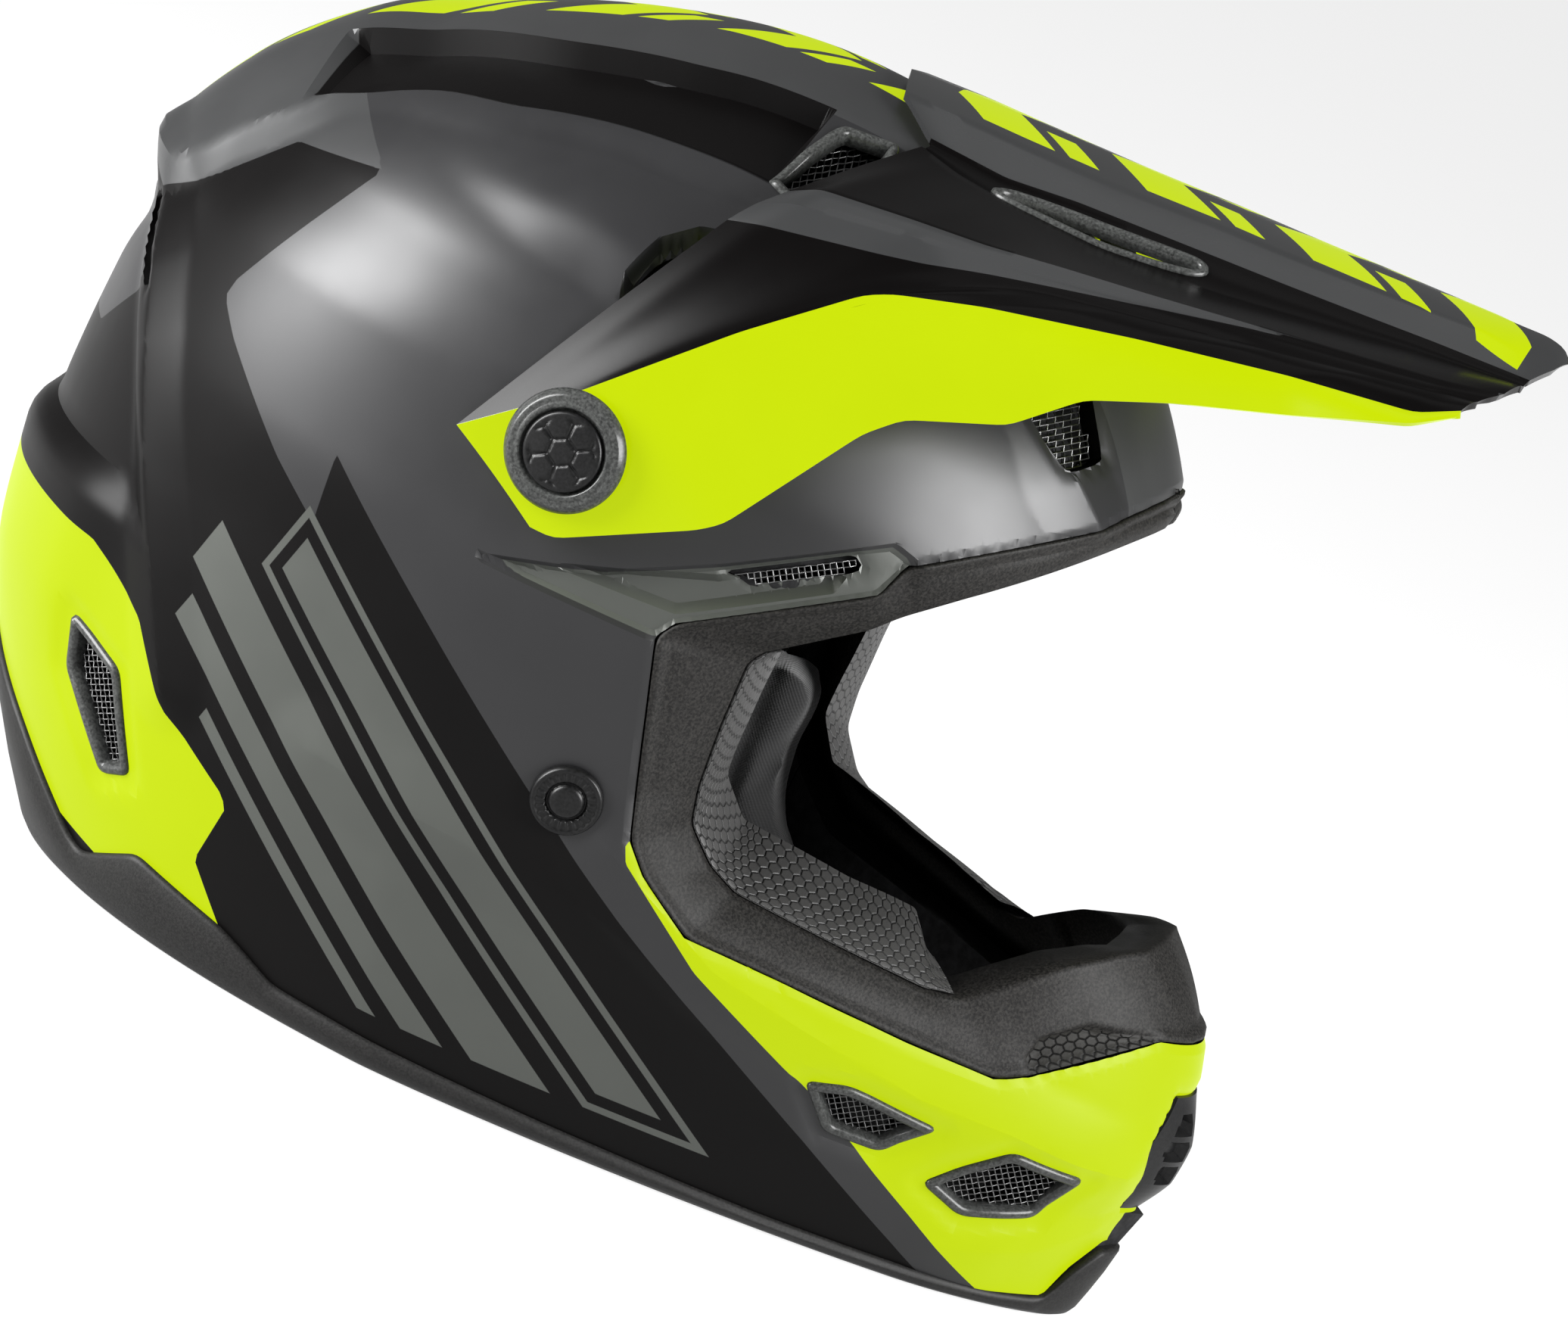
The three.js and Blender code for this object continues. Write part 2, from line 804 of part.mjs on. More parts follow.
// A point on an arc about the tilt axis, at a radius and an angle above the horizon.
const onArc = (radius, degrees) => [
  pivotForward + radius * Math.cos(THREE.MathUtils.degToRad(degrees)),
  pivotUp + radius * Math.sin(THREE.MathUtils.degToRad(degrees)),
];
function arcBand(low, high, from, to, steps = 8) {
  const angles = Array.from({ length: steps + 1 }, (_, i) => from + ((to - from) * i) / steps);
  return [...angles.map((a) => onArc(low, a)), ...angles.reverse().map((a) => onArc(high, a))];
}

// A cylinder on the centre screw's axis, which points at the tilt axis.
function centreAxisCylinder(radius, from, to, segments = 16) {
  const geometry = new THREE.CylinderGeometry(radius, radius, to - from, segments);
  geometry.translate(0, (from + to) / 2, 0);
  geometry.rotateX(THREE.MathUtils.degToRad(bracketAngle));
  return toSolid(geometry.translate(0, pivotForward, pivotUp));
}

function visor() {
  let sheet = visorSheet().intersect(across(visorTrim, -160, 160, 4));
  sheet = sheet.subtract(bothSides(upwards(visorSlot, 230, 290, 4)));
  const pivotHole = [
    [0, 110],
    [visorHoleRadius, 110],
    [visorHoleRadius, 140],
    [0, 140],
  ];
  sheet = sheet.subtract(bothSides(turnedAcross(pivotHole, 1, pivotForward, pivotUp, 20)));
  const top = bracketRadius + bracketThickness;
  const strapArc = arcBand(bracketRadius, top, bracketAngle - bracketAhead, bracketAngle + bracketBehind);
  const slot = arcBand(bracketRadius - 2, top + 2, bracketAngle - travelUp - 2, bracketAngle + travelDown + 2);
  const slotHalf = screwShankRadius + shankClearance;
  const bracket = across(strapArc, -bracketWidth / 2, bracketWidth / 2)
    .subtract(across(slot, -slotHalf, slotHalf));
  return mainBody(sheet.add(bracket));
}

// ---------------------------------------------------------------- visor fasteners

const earOutside = visorOutside + 0.3;

function visorBush() {
  const bore = screwShankRadius + shankClearance;
  const recess = screwHeadRadius + fitGap;
  const seat = earOutside + bushFlangeThickness - 1.6;
  const profile = [
    [bore, visorOutside - visorWall - 1.6],
    [visorHoleRadius - fitGap, visorOutside - visorWall - 1.6],
    [visorHoleRadius - fitGap, earOutside],
    [bushFlangeRadius, earOutside],
    [bushFlangeRadius, earOutside + bushFlangeThickness - 1.2],
    [bushFlangeRadius - 1.4, earOutside + bushFlangeThickness],
    [recess, earOutside + bushFlangeThickness],
    [recess, seat],
    [bore, seat],
    [bore, visorOutside - visorWall - 1.6],
  ];
  return turnedAcross(profile, 1, pivotForward, pivotUp, 20);
}

function visorScrew() {
  const seat = earOutside + bushFlangeThickness - 1.6 + 0.3;
  const profile = [
    [0, 106],
    [screwShankRadius, 106],
    [screwShankRadius, seat],
    [screwHeadRadius, seat],
    [screwHeadRadius, seat + 1.4],
    [screwHeadRadius - 1, seat + 2.4],
    [0, seat + 2.8],
  ];
  return turnedAcross(profile, 1, pivotForward, pivotUp, 20);
}

// A nut moulded into the shell's wall, with its flange behind the wall.
const shellHalfAtPivot = 120;
function visorInsert() {
  const bore = screwShankRadius + shankClearance;
  const flange = shellHalfAtPivot - shellWall - 4;
  const profile = [
    [bore, flange - 5],
    [insertRadius, flange - 5],
    [insertRadius, flange - 2],
    [insertFlangeRadius, flange - 2],
    [insertFlangeRadius, flange],
    [insertRadius, flange],
    [insertRadius, shellHalfAtPivot - 1.4],
    [bore, shellHalfAtPivot - 1.4],
    [bore, flange - 5],
  ];
  return turnedAcross(profile, 1, pivotForward, pivotUp, 12);
}

// Radius from the tilt axis to the shell's skin under the centre screw.
const crownRadius = 105.5;
function turnedOnCentreAxis(profile, segments = 16) {
  const points = profile.map(([radius, out]) => new THREE.Vector2(radius, out));
  const geometry = new THREE.LatheGeometry(points, segments);
  geometry.rotateX(THREE.MathUtils.degToRad(bracketAngle));
  return toSolid(geometry.translate(0, pivotForward, pivotUp));
}

function centreScrew() {
  const seat = bracketRadius + bracketThickness + 0.4;
  return turnedOnCentreAxis([
    [0, 92],
    [screwShankRadius, 92],
    [screwShankRadius, seat],
    [centreHeadRadius, seat],
    [centreHeadRadius, seat + 1.4],
    [centreHeadRadius - 1, seat + 2.2],
    [0, seat + 2.2],
  ]);
}

function centreInsert() {
  const bore = screwShankRadius + shankClearance;
  const behindWall = crownRadius - shellWall - 4;
  return turnedOnCentreAxis(
    [
      [bore, behindWall - 7],
      [insertFlangeRadius, behindWall - 7],
      [insertFlangeRadius, behindWall - 5],
      [insertRadius, behindWall - 5],
      [insertRadius, behindWall],
      [bore, behindWall],
      [bore, behindWall - 7],
    ],
    12,
  );
}

// ---------------------------------------------------------------- chin strap

function rivetHole() {
  const radius = rivetShankRadius + shankClearance;
  const profile = [
    [0, -20],
    [radius, -20],
    [radius, 8],
    [0, 8],
  ];
  return turnedOnSkin(profile, rivetForward, rivetUp, 10);
}

function strapRivet() {
  const inner = -shellWall - strapThickness - 8.4;
  const profile = [
    [0, inner],
    [5, inner],
    [5, inner + 1.2],
    [rivetShankRadius, inner + 1.2],
    [rivetShankRadius, 0.4],
    [0, 0.4],
  ];
  return turnedOnSkin(profile, rivetForward, rivetUp, 10);
}

function rivetCap() {
  const face = 0.9;
  const profile = [
    [0, face],
    [rivetCapRadius, face],
    [rivetCapRadius, face + 1.2],
    [rivetCapRadius - 1.4, face + 2.6],
    [5.2, face + 2.4],
    [4.6, face + 1.8],
    [3.6, face + 2.8],
    [0, face + 3.4],
  ];
  return turnedOnSkin(profile, rivetForward, rivetUp, 16);
}

// A flat strap as a ribbon along a front-view route, in (right, up).
function ribbon(route) {
  const points = route.map(([right, up]) => new THREE.Vector2(right, up));
  const normal = (i) => {
    const before = points[Math.max(0, i - 1)];
    const after = points[Math.min(points.length - 1, i + 1)];
    const along = after.clone().sub(before).normalize();
    return new THREE.Vector2(-along.y, along.x).multiplyScalar(strapThickness / 2);
  };
  const left = points.map((p, i) => p.clone().add(normal(i)));
  const right = points.map((p, i) => p.clone().sub(normal(i)));
  const outline = [...left, ...right.reverse()].map((p) => [p.x, p.y]);
  const from = rivetForward - strapWidth / 2;
  return forwards(outline, from, from + strapWidth);
}

const ringBar = { right: 30, up: 6.6 }; // the lower ring's bar
const ringPitch = 2 * ringWire + 0.9; // the upper ring lies this far above the lower one
const loopRadius = ringWire + 1 + strapThickness / 2;
const arcRoute = (radius, lift, from, to, steps) =>
  Array.from({ length: steps + 1 }, (_, i) => {
    const angle = THREE.MathUtils.degToRad(from + ((to - from) * i) / steps);
    return [ringBar.right + radius * Math.cos(angle), ringBar.up + lift + radius * Math.sin(angle)];
  });

// The short strap ends in a loop round the bars of the two D-rings.
function ringStrap() {
  const upper = arcRoute(loopRadius, ringPitch, 80, 180, 4);
  const lower = arcRoute(loopRadius, 0, 180, 290, 4);
  const arrives = [ringBar.right + 8, ringBar.up + ringPitch + loopRadius];
  const route = [...strapTop, arrives, ...upper, ...lower];
  return mainBody(ribbon(route).subtract(rivetHole()));
}

// The long strap lies folded back on itself across the base opening.
function longStrap() {
  const fold = [
    [60, 8.5],
    [30, 6],
    [3, 6],
    [0, 8.5],
    [3, 11],
    [26, 11],
    [44, 12.6],
  ];
  const route = [...strapTop, ...fold];
  return mainBody(mirrored(ribbon(route).subtract(rivetHole())));
}

function strapSnap() {
  const foot = 11 + strapThickness / 2 + fitGap;
  const profile = [
    [0, foot],
    [6, foot],
    [6, foot + 1.3],
    [4.6, foot + 2.5],
    [0, foot + 2.5],
  ];
  const stud = new THREE.LatheGeometry(
    profile.map((p) => new THREE.Vector2(...p)),
    14,
  );
  stud.rotateX(Math.PI / 2);
  return toSolid(stud.translate(-14, rivetForward, 0));
}

// A stamped D-ring: a straight bar along the strap's width, closed by a round bow.
function dOutline(half, back) {
  const right = ringBar.right - back;
  const outline = [
    [right, rivetForward - half],
    [right, rivetForward + half],
  ];
  for (let degrees = 90; degrees >= -90; degrees -= 30) {
    const angle = THREE.MathUtils.degToRad(degrees);
    outline.push([ringBar.right - 5 - 0.8 * half * Math.cos(angle), rivetForward + half * Math.sin(angle)]);
  }
  return outline;
}
function dRing(lift) {
  const middle = ringBar.up + lift;
  const plate = upwards(dOutline(ringInside / 2 + 2 * ringWire, -ringWire), middle - ringWire, middle + ringWire);
  return plate.subtract(upwards(dOutline(ringInside / 2, ringWire), middle - 9, middle + 9));
}

// ---------------------------------------------------------------- assembly

const finishes = {
  shell: { color: 0x2b2c2e, roughness: 0.35, metalness: 0.1 },
  visor: { color: 0xc8e600, roughness: 0.3, metalness: 0 },
  rubber: { color: 0x151515, roughness: 0.8, metalness: 0 },
  foam: { color: 0x1c1c1e, roughness: 0.95, metalness: 0 },
  fabric: { color: 0x101011, roughness: 1, metalness: 0 },
  bezel: { color: 0x4c4e4e, roughness: 0.4, metalness: 0.1 },
  mesh: { color: 0x0b0b0b, roughness: 0.5, metalness: 0.4 },
  cap: { color: 0x0d0d0d, roughness: 0.35, metalness: 0 },
  steel: { color: 0x8c8f93, roughness: 0.35, metalness: 1 },
  webbing: { color: 0x121214, roughness: 0.95, metalness: 0 },
};

const helmet = new THREE.Group();
const materials = Object.fromEntries(
  Object.entries(finishes).map(([name, finish]) => [name, new THREE.MeshStandardMaterial(finish)]),
);
function place(name, solid, finish) {
  const mesh = new THREE.Mesh(toGeometry(solid), materials[finish]);
  mesh.name = name;
  helmet.add(mesh);
}
function placePair(name, solid, finish) {
  place(`${name}_right`, solid, finish);
  place(`${name}_left`, mirrored(solid), finish);
}

const liner = splitLiner();
place("outer_shell", outerShell(), "shell");
place("eps_crown_liner", liner.crown, "foam");
place("eps_chin_liner", liner.chin, "foam");
place("eyeport_trim", eyeportTrim(), "rubber");
place("base_trim", baseTrim(), "rubber");
placePair("port_pad", portPad(), "rubber");
place("crown_pad", crownPad(), "fabric");
placePair("cheek_pad", cheekPad(), "fabric");
place("neck_roll", neckRoll(), "fabric");

for (const [name, vent] of Object.entries(vents)) {
  if (vent.bezel) placePair(`${name}_bezel`, ventBezel(vent), "bezel");
  placePair(`${name}_mesh`, ventMesh(vent), "mesh");
}
place("mouth_grille", mouthGrille(), "bezel");
place("mouth_mesh", mouthMesh(), "mesh");

place("visor", visor(), "visor");
placePair("visor_bush", visorBush(), "bezel");
placePair("visor_screw", visorScrew(), "cap");
placePair("visor_insert", visorInsert(), "steel");
place("visor_centre_screw", centreScrew(), "cap");
place("visor_centre_insert", centreInsert(), "steel");

placePair("strap_rivet", strapRivet(), "steel");
placePair("rivet_cap", rivetCap(), "cap");
place("ring_strap", ringStrap(), "webbing");
place("long_strap", longStrap(), "webbing");
place("strap_snap", strapSnap(), "cap");
place("d_ring_lower", dRing(0), "steel");
place("d_ring_upper", dRing(ringPitch), "steel");

helmet.rotation.z = Math.PI;
const extent = new THREE.Box3().setFromObject(helmet);
helmet.position.y = -(extent.min.y + extent.max.y) / 2;

export default helmet;
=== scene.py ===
"""Motocross helmet, the visible model.

Everything is drawn in millimetres with s to the wearer's right, f forward and z up, and
world() turns that into the frame's metres, where the helmet faces -Y.
"""

import math

import bmesh
import bpy
import numpy as np
from mathutils import Matrix, Vector

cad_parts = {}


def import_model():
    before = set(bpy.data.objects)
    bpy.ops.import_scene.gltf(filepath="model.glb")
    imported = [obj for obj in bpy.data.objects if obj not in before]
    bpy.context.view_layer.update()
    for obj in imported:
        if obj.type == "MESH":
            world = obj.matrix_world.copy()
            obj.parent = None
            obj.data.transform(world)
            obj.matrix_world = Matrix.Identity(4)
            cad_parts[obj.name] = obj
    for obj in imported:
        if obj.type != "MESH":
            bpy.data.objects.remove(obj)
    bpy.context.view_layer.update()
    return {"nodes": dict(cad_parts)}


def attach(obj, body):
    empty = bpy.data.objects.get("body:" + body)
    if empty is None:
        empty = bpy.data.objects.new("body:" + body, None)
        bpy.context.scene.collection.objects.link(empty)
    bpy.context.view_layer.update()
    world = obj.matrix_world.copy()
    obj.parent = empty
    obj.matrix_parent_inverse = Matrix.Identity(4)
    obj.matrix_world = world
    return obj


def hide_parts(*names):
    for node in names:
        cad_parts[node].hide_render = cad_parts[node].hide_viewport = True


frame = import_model()

SHIFT = 0.422  # the frame's origin lies this far ahead of f = 0, in mm
SPACING = 2.1  # of the shell's mesh, mm

# ------------------------------------------------------------------ the shell's skin

# height, rearmost, foremost, half width, widest at, rear squareness, front squareness
RINGS = np.array(
    [
        (-40, -110, 140, 76, -15, 2.3, 1.35),
        (0, -134, 163, 92, -15, 2.3, 1.35),
        (25, -151, 171, 100, -20, 2.3, 1.35),
        (50, -164, 174, 106, -25, 2.25, 1.40),
        (80, -171, 163, 112, -30, 2.2, 1.50),
        (110, -174, 145, 117, -38, 2.15, 1.70),
        (140, -173, 128, 121, -45, 2.1, 1.90),
        (170, -165, 114, 121, -48, 2.1, 2.05),
        (195, -152, 100, 113, -45, 2.1, 2.1),
        (215, -134, 86, 99, -40, 2.1, 2.1),
        (232, -112, 69, 80, -34, 2.1, 2.1),
        (246, -85, 48, 58, -28, 2.1, 2.1),
        (256, -55, 24, 35, -20, 2.1, 2.1),
        (260, -32, 4, 16, -14, 2.1, 2.1),
    ],
    float,
)
BLUNT = 0.28  # rounding of the rings' front


def world(p):
    p = np.asarray(p, float)
    return np.stack([-p[..., 0], SHIFT - p[..., 1], p[..., 2]], -1) / 1000


def smooth_curve(xs, ys):
    """A monotone smooth curve through points, as a function."""
    xs, ys = np.asarray(xs, float), np.asarray(ys, float)
    h = np.diff(xs)
    m = np.diff(ys) / h
    t = np.empty(len(xs))
    t[0], t[-1] = m[0], m[-1]
    both = m[:-1] * m[1:]
    total = np.where(both > 0, m[:-1] + m[1:], 1)
    t[1:-1] = np.where(both > 0, 2 * both / total, 0)

    def at(x):
        x = np.asarray(x, float)
        i = np.clip(np.searchsorted(xs, x) - 1, 0, len(h) - 1)
        u = (x - xs[i]) / h[i]
        return (
            (2 * u**3 - 3 * u**2 + 1) * ys[i]
            + (u**3 - 2 * u**2 + u) * h[i] * t[i]
            + (3 * u**2 - 2 * u**3) * ys[i + 1]
            + (u**3 - u**2) * h[i] * t[i + 1]
        )

    return at


RING_AT = [smooth_curve(RINGS[:, 0], RINGS[:, i]) for i in range(1, 7)]


def ring_point(z, a):
    """(s, f) of the skin at height z and angle a from straight ahead."""
    rear, front, half, mid, square_r, square_f = (g(z) for g in RING_AT)
    c, s = np.cos(a), np.sin(a)
    ahead = c > 0
    n = np.where(ahead, square_f, square_r)
    e = np.where(ahead, BLUNT, 1e-4)
    lift = e**n
    side = ((s * s + e * e) ** (n / 2) - lift) / ((1 + e * e) ** (n / 2) - lift)
    k = (np.abs(c) ** n + side) ** (-1 / n)
    reach = np.where(ahead, front - mid, mid - rear)
    return half * s * k, mid + reach * c * k


def skin_angle(f, z):
    low = np.zeros(np.broadcast(f, z).shape)
    high = np.full(low.shape, math.pi)
    for _ in range(30):
        mid = (low + high) / 2
        ahead = ring_point(z, mid)[1] > f
        low = np.where(ahead, mid, low)
        high = np.where(ahead, high, mid)
    return low


def bare_skin(f, z):
    """Points and outward normals of the undisplaced right side over side-view places."""
    f, z = np.broadcast_arrays(np.asarray(f, float), np.asarray(z, float))
    a = skin_angle(f, z)

    def place(a, z):
        s, g = ring_point(z, a)
        return np.stack([s, g, z + 0 * s], -1)

    step = 1e-3
    along = place(np.clip(a + step, 0, math.pi), z) - place(np.clip(a - step, 0, math.pi), z)
    up = place(a, z + 0.2) - place(a, z - 0.2)
    normal = np.cross(up, along)
    normal /= np.linalg.norm(normal, axis=-1, keepdims=True) + 1e-12
    return place(a, z), normal


# ------------------------------------------------------------------ distances and ramps


def ramp(x):
    x = np.clip(x, 0, 1)
    return x * x * (3 - 2 * x)


def inside(poly, x, y):
    """Signed distance to an outline, positive inside."""
    poly = np.asarray(poly, float)
    best = np.full(x.shape, 1e9)
    odd = np.zeros(x.shape, bool)
    for (ax, ay), (bx, by) in zip(poly, np.roll(poly, -1, 0)):
        ex, ey = bx - ax, by - ay
        t = np.clip(((x - ax) * ex + (y - ay) * ey) / (ex * ex + ey * ey), 0, 1)
        best = np.minimum(best, np.hypot(x - ax - t * ex, y - ay - t * ey))
        if ay != by:
            odd ^= ((ay > y) != (by > y)) & (x < ax + (y - ay) * ex / ey)
    return np.where(odd, best, -best)


def to_line(line, p):
    """Distance from points to an open 3-D line."""
    best = np.full(p.shape[:-1], 1e9)
    for a, b in zip(line[:-1], line[1:]):
        e = b - a
        t = np.clip(((p - a) @ e) / (e @ e), 0, 1)
        best = np.minimum(best, np.linalg.norm(p - a - t[..., None] * e, axis=-1))
    return best


def on_skin(line):
    line = np.asarray(line, float)
    return bare_skin(line[:, 0], line[:, 1])[0]


# ------------------------------------------------------------------ side-view outlines, (f, z)

PORT = [
    (230, 205), (98, 202), (92, 196), (88, 192), (57, 172), (54, 163), (15, 138), (12, 133), (22, 95), (25, 84),
    (31, 77), (45, 67), (68, 65), (102, 61.5), (124, 60), (131, 63), (155, 80), (163, 80), (230, 80),
]
BASE_EDGE = [
    (-190, 54), (-172, 52), (-158, 46), (-131, 29), (-107, 12), (-102, 10), (-86, 20), (-58, 15), (-50, 12),
    (-41, 8), (29, 5.5), (87, 4), (144, 4), (157, 5), (162, 14), (168, 22), (190, 24),
]
BASE_CUT = BASE_EDGE + [(190, -40), (-190, -40)]
HI_VIS_REAR = [
    (-195, 90), (-171, 89), (-160, 88), (-128, 86), (-107, 76), (-92, 59), (-70, 47), (-68, 44), (-71, 28),
    (-58, 14), (-86, 10), (-131, 20), (-195, 40),
]
HI_VIS_CHIN = [
    (24, 84), (26, 79), (50, 60), (85, 41), (104, 28), (142, 3), (155, -12), (215, -12), (215, 86), (155, 86),
    (131, 70), (124, 66), (102, 67), (68, 71), (45, 72), (34, 84),
]
BLACK_SIDE = [
    (-163, 173), (-152, 166), (-124, 195), (-98, 201), (-119, 162), (-120, 157), (-113, 150), (-89, 131),
    (-74, 121), (-75, 139), (-1, 85), (30, 64), (64, 43), (128, 3), (128, -20), (-195, -20), (-195, 132),
    (-161, 128), (-146, 149),
]
RECESS = [(-33, 133), (-5, 142), (20, 155.5), (52, 175), (58, 173), (54, 163), (15, 138), (12, 133)]
RECESS_DEEP = [(-14, 139.5), (20, 152), (46, 168), (44, 160), (14, 141)]

VENTS = {
    "rear_vent": dict(outline=[(-127, 66), (-109, 60), (-96, 37), (-104, 33), (-124, 52)], bezel=True),
    "chin_vent_upper": dict(outline=[(84, 43), (94, 46), (117, 43), (107, 31), (93, 31)], bezel=True),
    "chin_vent_lower": dict(outline=[(119, 27), (135, 44), (153, 42), (147, 27), (130, 22)], bezel=True),
    "top_vent": dict(outline=[(-17, 236), (-11, 251), (4, 252), (8, 238), (-6, 233)], bezel=True),
    "slit_vent": dict(outline=[(20, 154), (46, 170), (49, 167.5), (44, 163), (28, 153.5)], bezel=False),
    "scoop_vent": dict(outline=[(-26, 199), (-29, 206), (-27, 213), (-21, 218.5), (-13, 220), (-2, 216), (0, 204), (-12, 195)], bezel=False),
    "rear_slot": dict(outline=[(-157, 161), (-153, 165), (-147, 156), (-141, 146), (-146, 147), (-154, 156)], bezel=False),
    "brow_vent": dict(outline=[(60, 214), (72, 220), (82, 207), (76, 202)], bezel=False),
}
MOUTH = [(-18, 53), (-12, 67), (12, 67), (18, 53), (12, 34), (-12, 34)]

# ------------------------------------------------------------------ sculpting of the skin

STRIP_HALF = smooth_curve([-185, -172, -150, -128, -109, -75, -51, -34, -13, 15, 60], [15, 24, 34, 41, 43, 49, 48.5, 46, 43, 39, 37])
FLUTE_LOW = smooth_curve([-140, -127, -100, -76, -45, -23, 0], [64, 65.5, 71, 76.5, 75.5, 73.5, 72])
# The raised back: it ends below along this line, standing out by these amounts there and in the middle.
BACK_LOW = smooth_curve([-190, -176, -165, -153, -147, -138, -126, -113, -92, -74, -48, -20, 12, 60],
                        [177, 175, 171, 168, 173.5, 185, 198, 212, 219, 223, 228, 231, 233, 236])
BACK_EDGE = smooth_curve([-190, -152, -138, -126, -113, -95, -20, 60], [4.2, 3.5, 2.8, 2.0, 1.3, 1.0, 0.8, 0.6])
BACK_MID = smooth_curve([-185, -165, -150, -130, -110, -60, 0, 60], [8, 8.5, 8.5, 7.5, 2.8, 1.2, 1.5, 1.5])
NOSE_CUT = smooth_curve([-5, 0, 14, 25, 41, 51, 64, 80, 92], [1.5, 2.5, 6, 7.5, 5.5, 5, 3.5, 0.8, 0])
LOBE_TOP = smooth_curve([-92, -74, -48, -31, -20, 10], [219, 223, 228, 229, 231, 233])
LOBE_LOW = smooth_curve([-92, -78, -67, -56, -43, -30, 0], [209, 205, 203, 201, 200, 197.5, 194])
LOBE_MOUTH = [(-27, 197), (-30.5, 206), (-28, 214), (-22, 219.5), (-14, 221.5), (0, 222), (6, 210), (0, 194), (-14, 191)]

CREASES = [
    # line in (f, z), height, reach
    ([(-161, 170), (-152, 164), (-142, 152), (-134, 137), (-122, 114), (-108, 90), (-94, 64)], 2.8, 12),
    ([(-51, 70), (-21, 67), (19, 64), (48, 56), (87, 41)], 1.6, 14),
    ([(22, 80), (54, 62), (80, 56), (110, 50), (132, 49), (150, 46), (162, 45)], 3.4, 15),
    ([(89, 191), (76, 203), (66, 214)], 2.2, 15),
    ([(128, 13), (150, 18), (164, 26)], 1.2, 12),
]
CREASE_LINES = [(on_skin(line), height, reach) for line, height, reach in CREASES]


def band(x):
    """A straight ramp: flat-sided folds stay clean where the mesh is cut along both of their ends."""
    return np.clip(x + 0.5, 0, 1)


def sculpt(p):
    """How far the visible surface stands out of the bare skin, in mm."""
    s, f, z = np.abs(p[..., 0]), p[..., 1], p[..., 2]
    q = np.stack([s, f, z], -1)
    out = np.zeros(s.shape)
    back = band((z - BACK_LOW(f)) / 8.0) * ramp((62 - f) / 16)
    out += back * (BACK_EDGE(f) + (BACK_MID(f) - BACK_EDGE(f)) * ramp((78 - s) / 45))
    flute = band((s - STRIP_HALF(f)) / 2.2) * band((FLUTE_LOW(f) - s) / 2.8)
    flute *= band((f + 127) / 3.2) * ramp((z - 195) / 8) * band((-15 - f) / 2)
    across = np.clip((s - STRIP_HALF(f)) / (FLUTE_LOW(f) - STRIP_HALF(f) + 1e-6), 0, 1)
    out -= flute * (6.2 - 4.2 * across)
    for line, height, reach in CREASE_LINES:
        out += height * np.clip(1 - to_line(line, q) / reach, 0, 1)
    # The rear panel lies deeper behind its crease, and the shelf below it stands out.
    behind = inside([(-158, 166), (-151, 157), (-121, 112), (-110, 92), (-195, 96), (-195, 150)], f, z)
    out -= 3.2 * ramp(behind / 9) * ramp((s + 12) / 30)
    shelf = ramp((104 - z) / 5) * ramp((z - 40) / 30) * ramp((-118 - f) / 20)
    out += 2.6 * shelf
    # The lobe that ends in the hood over the side opening.
    rise = np.clip((z - LOBE_LOW(f)) / (LOBE_TOP(f) - LOBE_LOW(f)), 0, 1)
    lobe = ramp(rise / 0.5) * (1 - rise) ** 0.7 * ramp((f + 92) / 62) * ramp((s - 66) / 8)
    mouth = inside(LOBE_MOUTH, f, z)
    out += 6.0 * lobe * band((-0.9 - mouth) / 1.8) * ramp((20 - f) / 20)
    out -= 2.0 * band(mouth / 2.0) * ramp((s - 60) / 10)
    # Stepped-in facets.
    out -= 2.0 * band(inside(RECESS, f, z) / 2.2)
    out -= 2.2 * band(inside(RECESS_DEEP, f, z) / 2.2)
    for name in ("rear_vent", "chin_vent_upper", "chin_vent_lower"):
        d = inside(VENTS[name]["outline"], f, z)
        out -= 1.3 * ramp((d + 5) / 4) * (s > 8)
    # Chin bar: it is blunt at the middle, and its mouth is let in.
    out -= NOSE_CUT(z) * ramp((f - 128) / 20) * ramp((42 - s) / 30) * (z < 92)
    hollow = inside(MOUTH, p[..., 0], z)
    out -= 2.5 * ramp((hollow + 3) / 3) * (f > 120)
    # A rolled edge round every cut.
    for name, vent in VENTS.items():
        if not vent["bezel"]:
            d = np.abs(inside(vent["outline"], f, z))
            out -= 0.9 * np.clip(1 - d / 2.0, 0, 1) ** 2 * (s > 20)
    out -= 0.8 * np.clip(1 + inside(PORT, f, z) / 2.2, 0, 1) ** 2
    return out


def surface(f, z, proud=0.0):
    """Points and normals of the visible right side."""
    p, n = bare_skin(f, z)
    return p + n * (sculpt(p) + proud)[..., None], n


# ------------------------------------------------------------------ meshes


